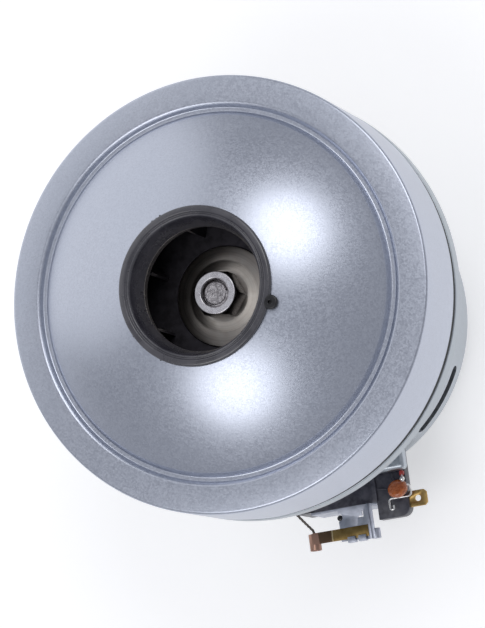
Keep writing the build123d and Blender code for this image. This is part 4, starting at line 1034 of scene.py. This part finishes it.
def dressPair(node, name, look, slotName, bevel=0.0, smooth=30):
    # the CAD shapes of both gears
    pair = {side: dressCopy(f"{node}_{side}", name + side.upper(), bevel, smooth) for side in ("a", "b")}
    for side, piece in pair.items():
        settle(piece, look, slotName, f"{node}_{side}")
    return pair


dressPair("brush_holder", "brushHolder", "holderResin", "holder_resin", 0.35)
dressPair("brush_bracket", "brushBracket", "clipZinc", "clip_steel", 0.12)
dressPair("terminal_tab", "terminalTab", "tabBrass", "tab_brass", 0.1)
dressPair("brush_tube", "brushTube", "tubeBrass", "tube_brass", 0.06)

capacitor = {"place": (26.4, -59.9, 32.3), "radius": 3.3, "half": 1.5, "lean": -30.0, "stepAngle": 8,
             "rimPower": 0.75, "facePower": 0.8}


def makeCapacitor(place, radius, half, lean, stepAngle, rimPower, facePower):
    # a dipped disc: a lens with a full rim
    outline = [(0.0, -half)]
    for angle in range(stepAngle, 180, stepAngle):
        a = math.radians(angle)
        level = half * abs(math.cos(a)) ** facePower
        outline.append((radius * math.sin(a) ** rimPower, -level if angle < 90 else level))
    piece = lathe("capacitorA", outline + [(0.0, half)], 48, 60)
    piece.data.transform(shiftedBy(*place) @ turnedBy(lean, "X"))
    return piece


capacitorA = makeCapacitor(**capacitor)
settle(halfTurned(capacitorA, "capacitorB"), "capacitorEpoxy", "capacitor_epoxy", "capacitor_b")
settle(capacitorA, "capacitorEpoxy", "capacitor_epoxy", "capacitor_a")

live = {"radius": 0.4, "bends": [0.8, 1.6, 0.8, 0.6, 0.6], "route": [
    (28.8, -59.0, 31.8), (30.05, -59.0, 31.8), (30.05, -62.4, 29.35), (22.2, -62.4, 29.35),
    (22.2, -65.9, 29.35), (23.5, -65.9, 29.35), (23.5, -64.6, 29.35)]}
earth = {"radius": 0.3, "bends": [0.4], "x": 28.3, "level": 32.3,
         "route": [(28.3, -58.25, 32.3), (28.3, -56.1, 32.3), (28.3, -54.15, 31.4)]}
# the lump of solder on the earth lead, just above the disc: place along the lead and radius
lump = [(-57.95, 0.33), (-57.6, 0.6), (-57.15, 0.85), (-56.7, 0.82), (-56.35, 0.55), (-56.1, 0.33)]
leadShapes = [
    tube(smoothPath(live["route"], live["bends"]), live["radius"]),
    tube(smoothPath(earth["route"], earth["bends"]), earth["radius"]),
    tube([(earth["x"], y, earth["level"]) for y, r in lump], [r for y, r in lump], 14),
]
leadsA = makePiece("capacitorLeadsA", *joinShapes(leadShapes), smooth=50)
settle(leadsA, "tinnedWire", "lead_tin", "capacitor_leads_a")
settle(halfTurned(leadsA, "capacitorLeadsB"), "tinnedWire", "lead_tin", "capacitor_leads_b")

sleeve = {"start": 0.25, "length": 0.53, "radii": [0.78, 0.85, 0.86, 0.84, 0.86, 0.85, 0.8]}


def makeSleeve():
    # it covers a share of the earth lead's last run
    bend = Vector(earth["route"][1])
    run = Vector(earth["route"][2]) - bend
    last = len(sleeve["radii"]) - 1
    places = [bend + run * (sleeve["start"] + sleeve["length"] * k / last) for k in range(last + 1)]
    return tube(places, sleeve["radii"], 18)


sleeveShape = makeSleeve()
sleeves = makePiece("earthSleeves", *joinShapes([sleeveShape, moved(sleeveShape, turnedBy(180))]), smooth=45)
settle(sleeves, "redSleeve", "sleeve_red", "earth_sleeves")
dressPair("contact_strip", "contactStrip", "stripBrass", "strip_brass", 0.08)

# the field leads follow the same corners as their solids, from the crimp barrel to the coil
leadTwist = {"strand": 0.24, "twist": 0.22, "turns": 9, "points": 150}
leadCorners = [(-5.3, -72.0, 27.25), (-5.3, -68.4, 27.25), (-7.6, -64.4, 31.0), (-13.0, -56.7, 32.75),
               (-13.0, -40.4, 32.75)]
leadPath = smoothPath(leadCorners, [1.2, 5.0, 3.0], 8)
otherPath = [turnedBy(180) @ p for p in leadPath]
settle(windStrands("fieldLeads", [leadPath, otherPath], 3, leadTwist, "leadVarnish"), "leadVarnish",
       "lead_varnish", "field_leads")

# Small things on the brush gear: two moulded ribs beside the disc and a stud in the clip's notch

rib = {"radius": 0.38, "level": 28.95, "lines": [[(17.9, -58.4), (21.7, -59.0)],
                                                 [(24.3, -54.4), (24.2, -55.7), (24.9, -56.9)]]}
stud = {"radius": 0.95, "height": 0.3, "foot": 0.6}
studPlace = Vector((4.6, -65.75, 28.5))
for side, turn in (("A", 0), ("B", 180)):
    ribs = [tube([(x, y, rib["level"]) for x, y in line], rib["radius"], 10) for line in rib["lines"]]
    ribs = [moved(shape, turnedBy(turn)) for shape in ribs]
    settle(makePiece("boxRibs" + side, *joinShapes(ribs), smooth=50), "holderResin", "holder_resin")
studPlaces = [(turnedBy(turn) @ studPlace, (0, 0, 1)) for turn in (0, 180)]
settle(setOut("clipStuds", studPlaces, domedHead("stud", **stud), "sealFlash"), "sealFlash", "holder_resin")
print("brush gear dressed")

# Springs and shunts: dressed copies of the CAD pieces, each with a mesh of its own

followers = {
    "brush_spring": ("brushSpring", "springSteel", "spring_steel"),
    "brush_shunt": ("brushShunt", "copperBraid", "shunt_copper"),
}
for node, looks in followers.items():
    for side, piece in dressPair(node, *looks, smooth=50).items():
        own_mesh(piece)

# The CAD pieces whose own shape is right get a finish

kept = {
    "bearingSteel": [f"{end}_bearing_{part}" for end in ("front", "rear")
                     for part in ("outer_ring", "inner_ring", "balls")] + ["bearing_shields"],
    "cageNylon": ["front_bearing_cage", "rear_bearing_cage"],
    "coreStack": ["stator_core", "armature_core"],
    "insulatingBoard": ["coil_cheeks", "armature_insulators"],
    "turnedDisc": ["back_washer"],
    "spacerSteel": ["fan_spacer", "rear_spacer"],
    "shaftSleeve": ["shaft_sleeves"],
    "commutatorCopper": ["commutator_bars"],
    "commutatorResin": ["commutator_hub"],
    "diffuserPlastic": ["diffuser"],
    "screwZinc": ["diffuser_screws"],
    "springSteel": ["preload_washer"],
    "brushCarbon": ["carbon_brush_a", "carbon_brush_b"],
}
for look, names in kept.items():
    for name in names:
        nodes[name].data.materials.clear()
        nodes[name].data.materials.append(finish[look])
print("kept pieces finished")

# Floor, world, lamps and camera

scene = bpy.context.scene
studio = {"floor": 6.0, "floorColour": (0.80, 0.80, 0.81), "floorRough": 0.9, "floorShine": 0.1,
          "floorGlow": 0.42, "world": (0.42, 0.43, 0.46), "aim": (0, 0, 0.11)}
corners = [(x * studio["floor"], y * studio["floor"], 0) for x, y in ((-1, -1), (1, -1), (1, 1), (-1, 1))]
ground = bpy.data.meshes.new("floor")
ground.from_pydata(corners, [], [(0, 1, 2, 3)])
paper, tree, shader = newFinish("floorPaper", {
    "Base Color": (*studio["floorColour"], 1), "Roughness": studio["floorRough"],
    "Specular IOR Level": studio["floorShine"], "Emission Color": (1, 1, 1, 1)})
# the glow is only for rays that look at the floor, so it lights nothing
rays = tree.nodes.new("ShaderNodeLightPath").outputs
mirrored = calc(tree, "MAXIMUM", rays["Is Glossy Ray"], rays["Is Transmission Ray"])
seen = calc(tree, "MAXIMUM", rays["Is Camera Ray"], mirrored)
tree.links.new(times(tree, seen, studio["floorGlow"]), shader.inputs["Emission Strength"])
ground.materials.append(paper)
linkObject("floor", ground)

world = bpy.data.worlds.new("studio")
scene.world = world
world.use_nodes = True
background = world.node_tree.nodes["Background"].inputs
background["Color"].default_value = (*studio["world"], 1)
background["Strength"].default_value = 1.0

lamps = {
    "keyAbove": {"toward": (0.315, 0.444, 0.839), "distance": 1.1, "size": 0.66, "power": 2.9},
    "fillBelow": {"toward": (-0.169, -0.509, 0.844), "distance": 1.1, "size": 0.66, "power": 2.7},
    "panelLeft": {"toward": (-0.72, 0.56, 0.34), "distance": 1.6, "size": 2.4, "power": 8.5},
}
for name, lamp in lamps.items():
    data = assign(bpy.data.lights.new(name, "AREA"), shape="DISK", size=lamp["size"], energy=lamp["power"])
    away = Vector(lamp["toward"]).normalized()
    assign(linkObject(name, data), location=Vector(studio["aim"]) + away * lamp["distance"],
           rotation_mode="QUATERNION", rotation_quaternion=away.to_track_quat("Z", "Y"),
           visible_camera=False)

lens = {"lens": 178.95, "sensor_width": 36.0, "clip_start": 0.01, "clip_end": 50}
cameraPlace = (0.31630, -0.17088, 0.98440)
cameraAxes = ((0.92770, -0.13038, -0.34981), (0.18143, 0.97640, 0.11725), (0.32626, -0.17224, 0.92945))
camera = linkObject("camera", assign(bpy.data.cameras.new("camera"), **lens))
camera.matrix_world = Matrix.Translation(cameraPlace) @ Matrix(cameraAxes).transposed().to_4x4()
scene.camera = camera
scene.view_settings.view_transform = "Standard"
print("studio set")
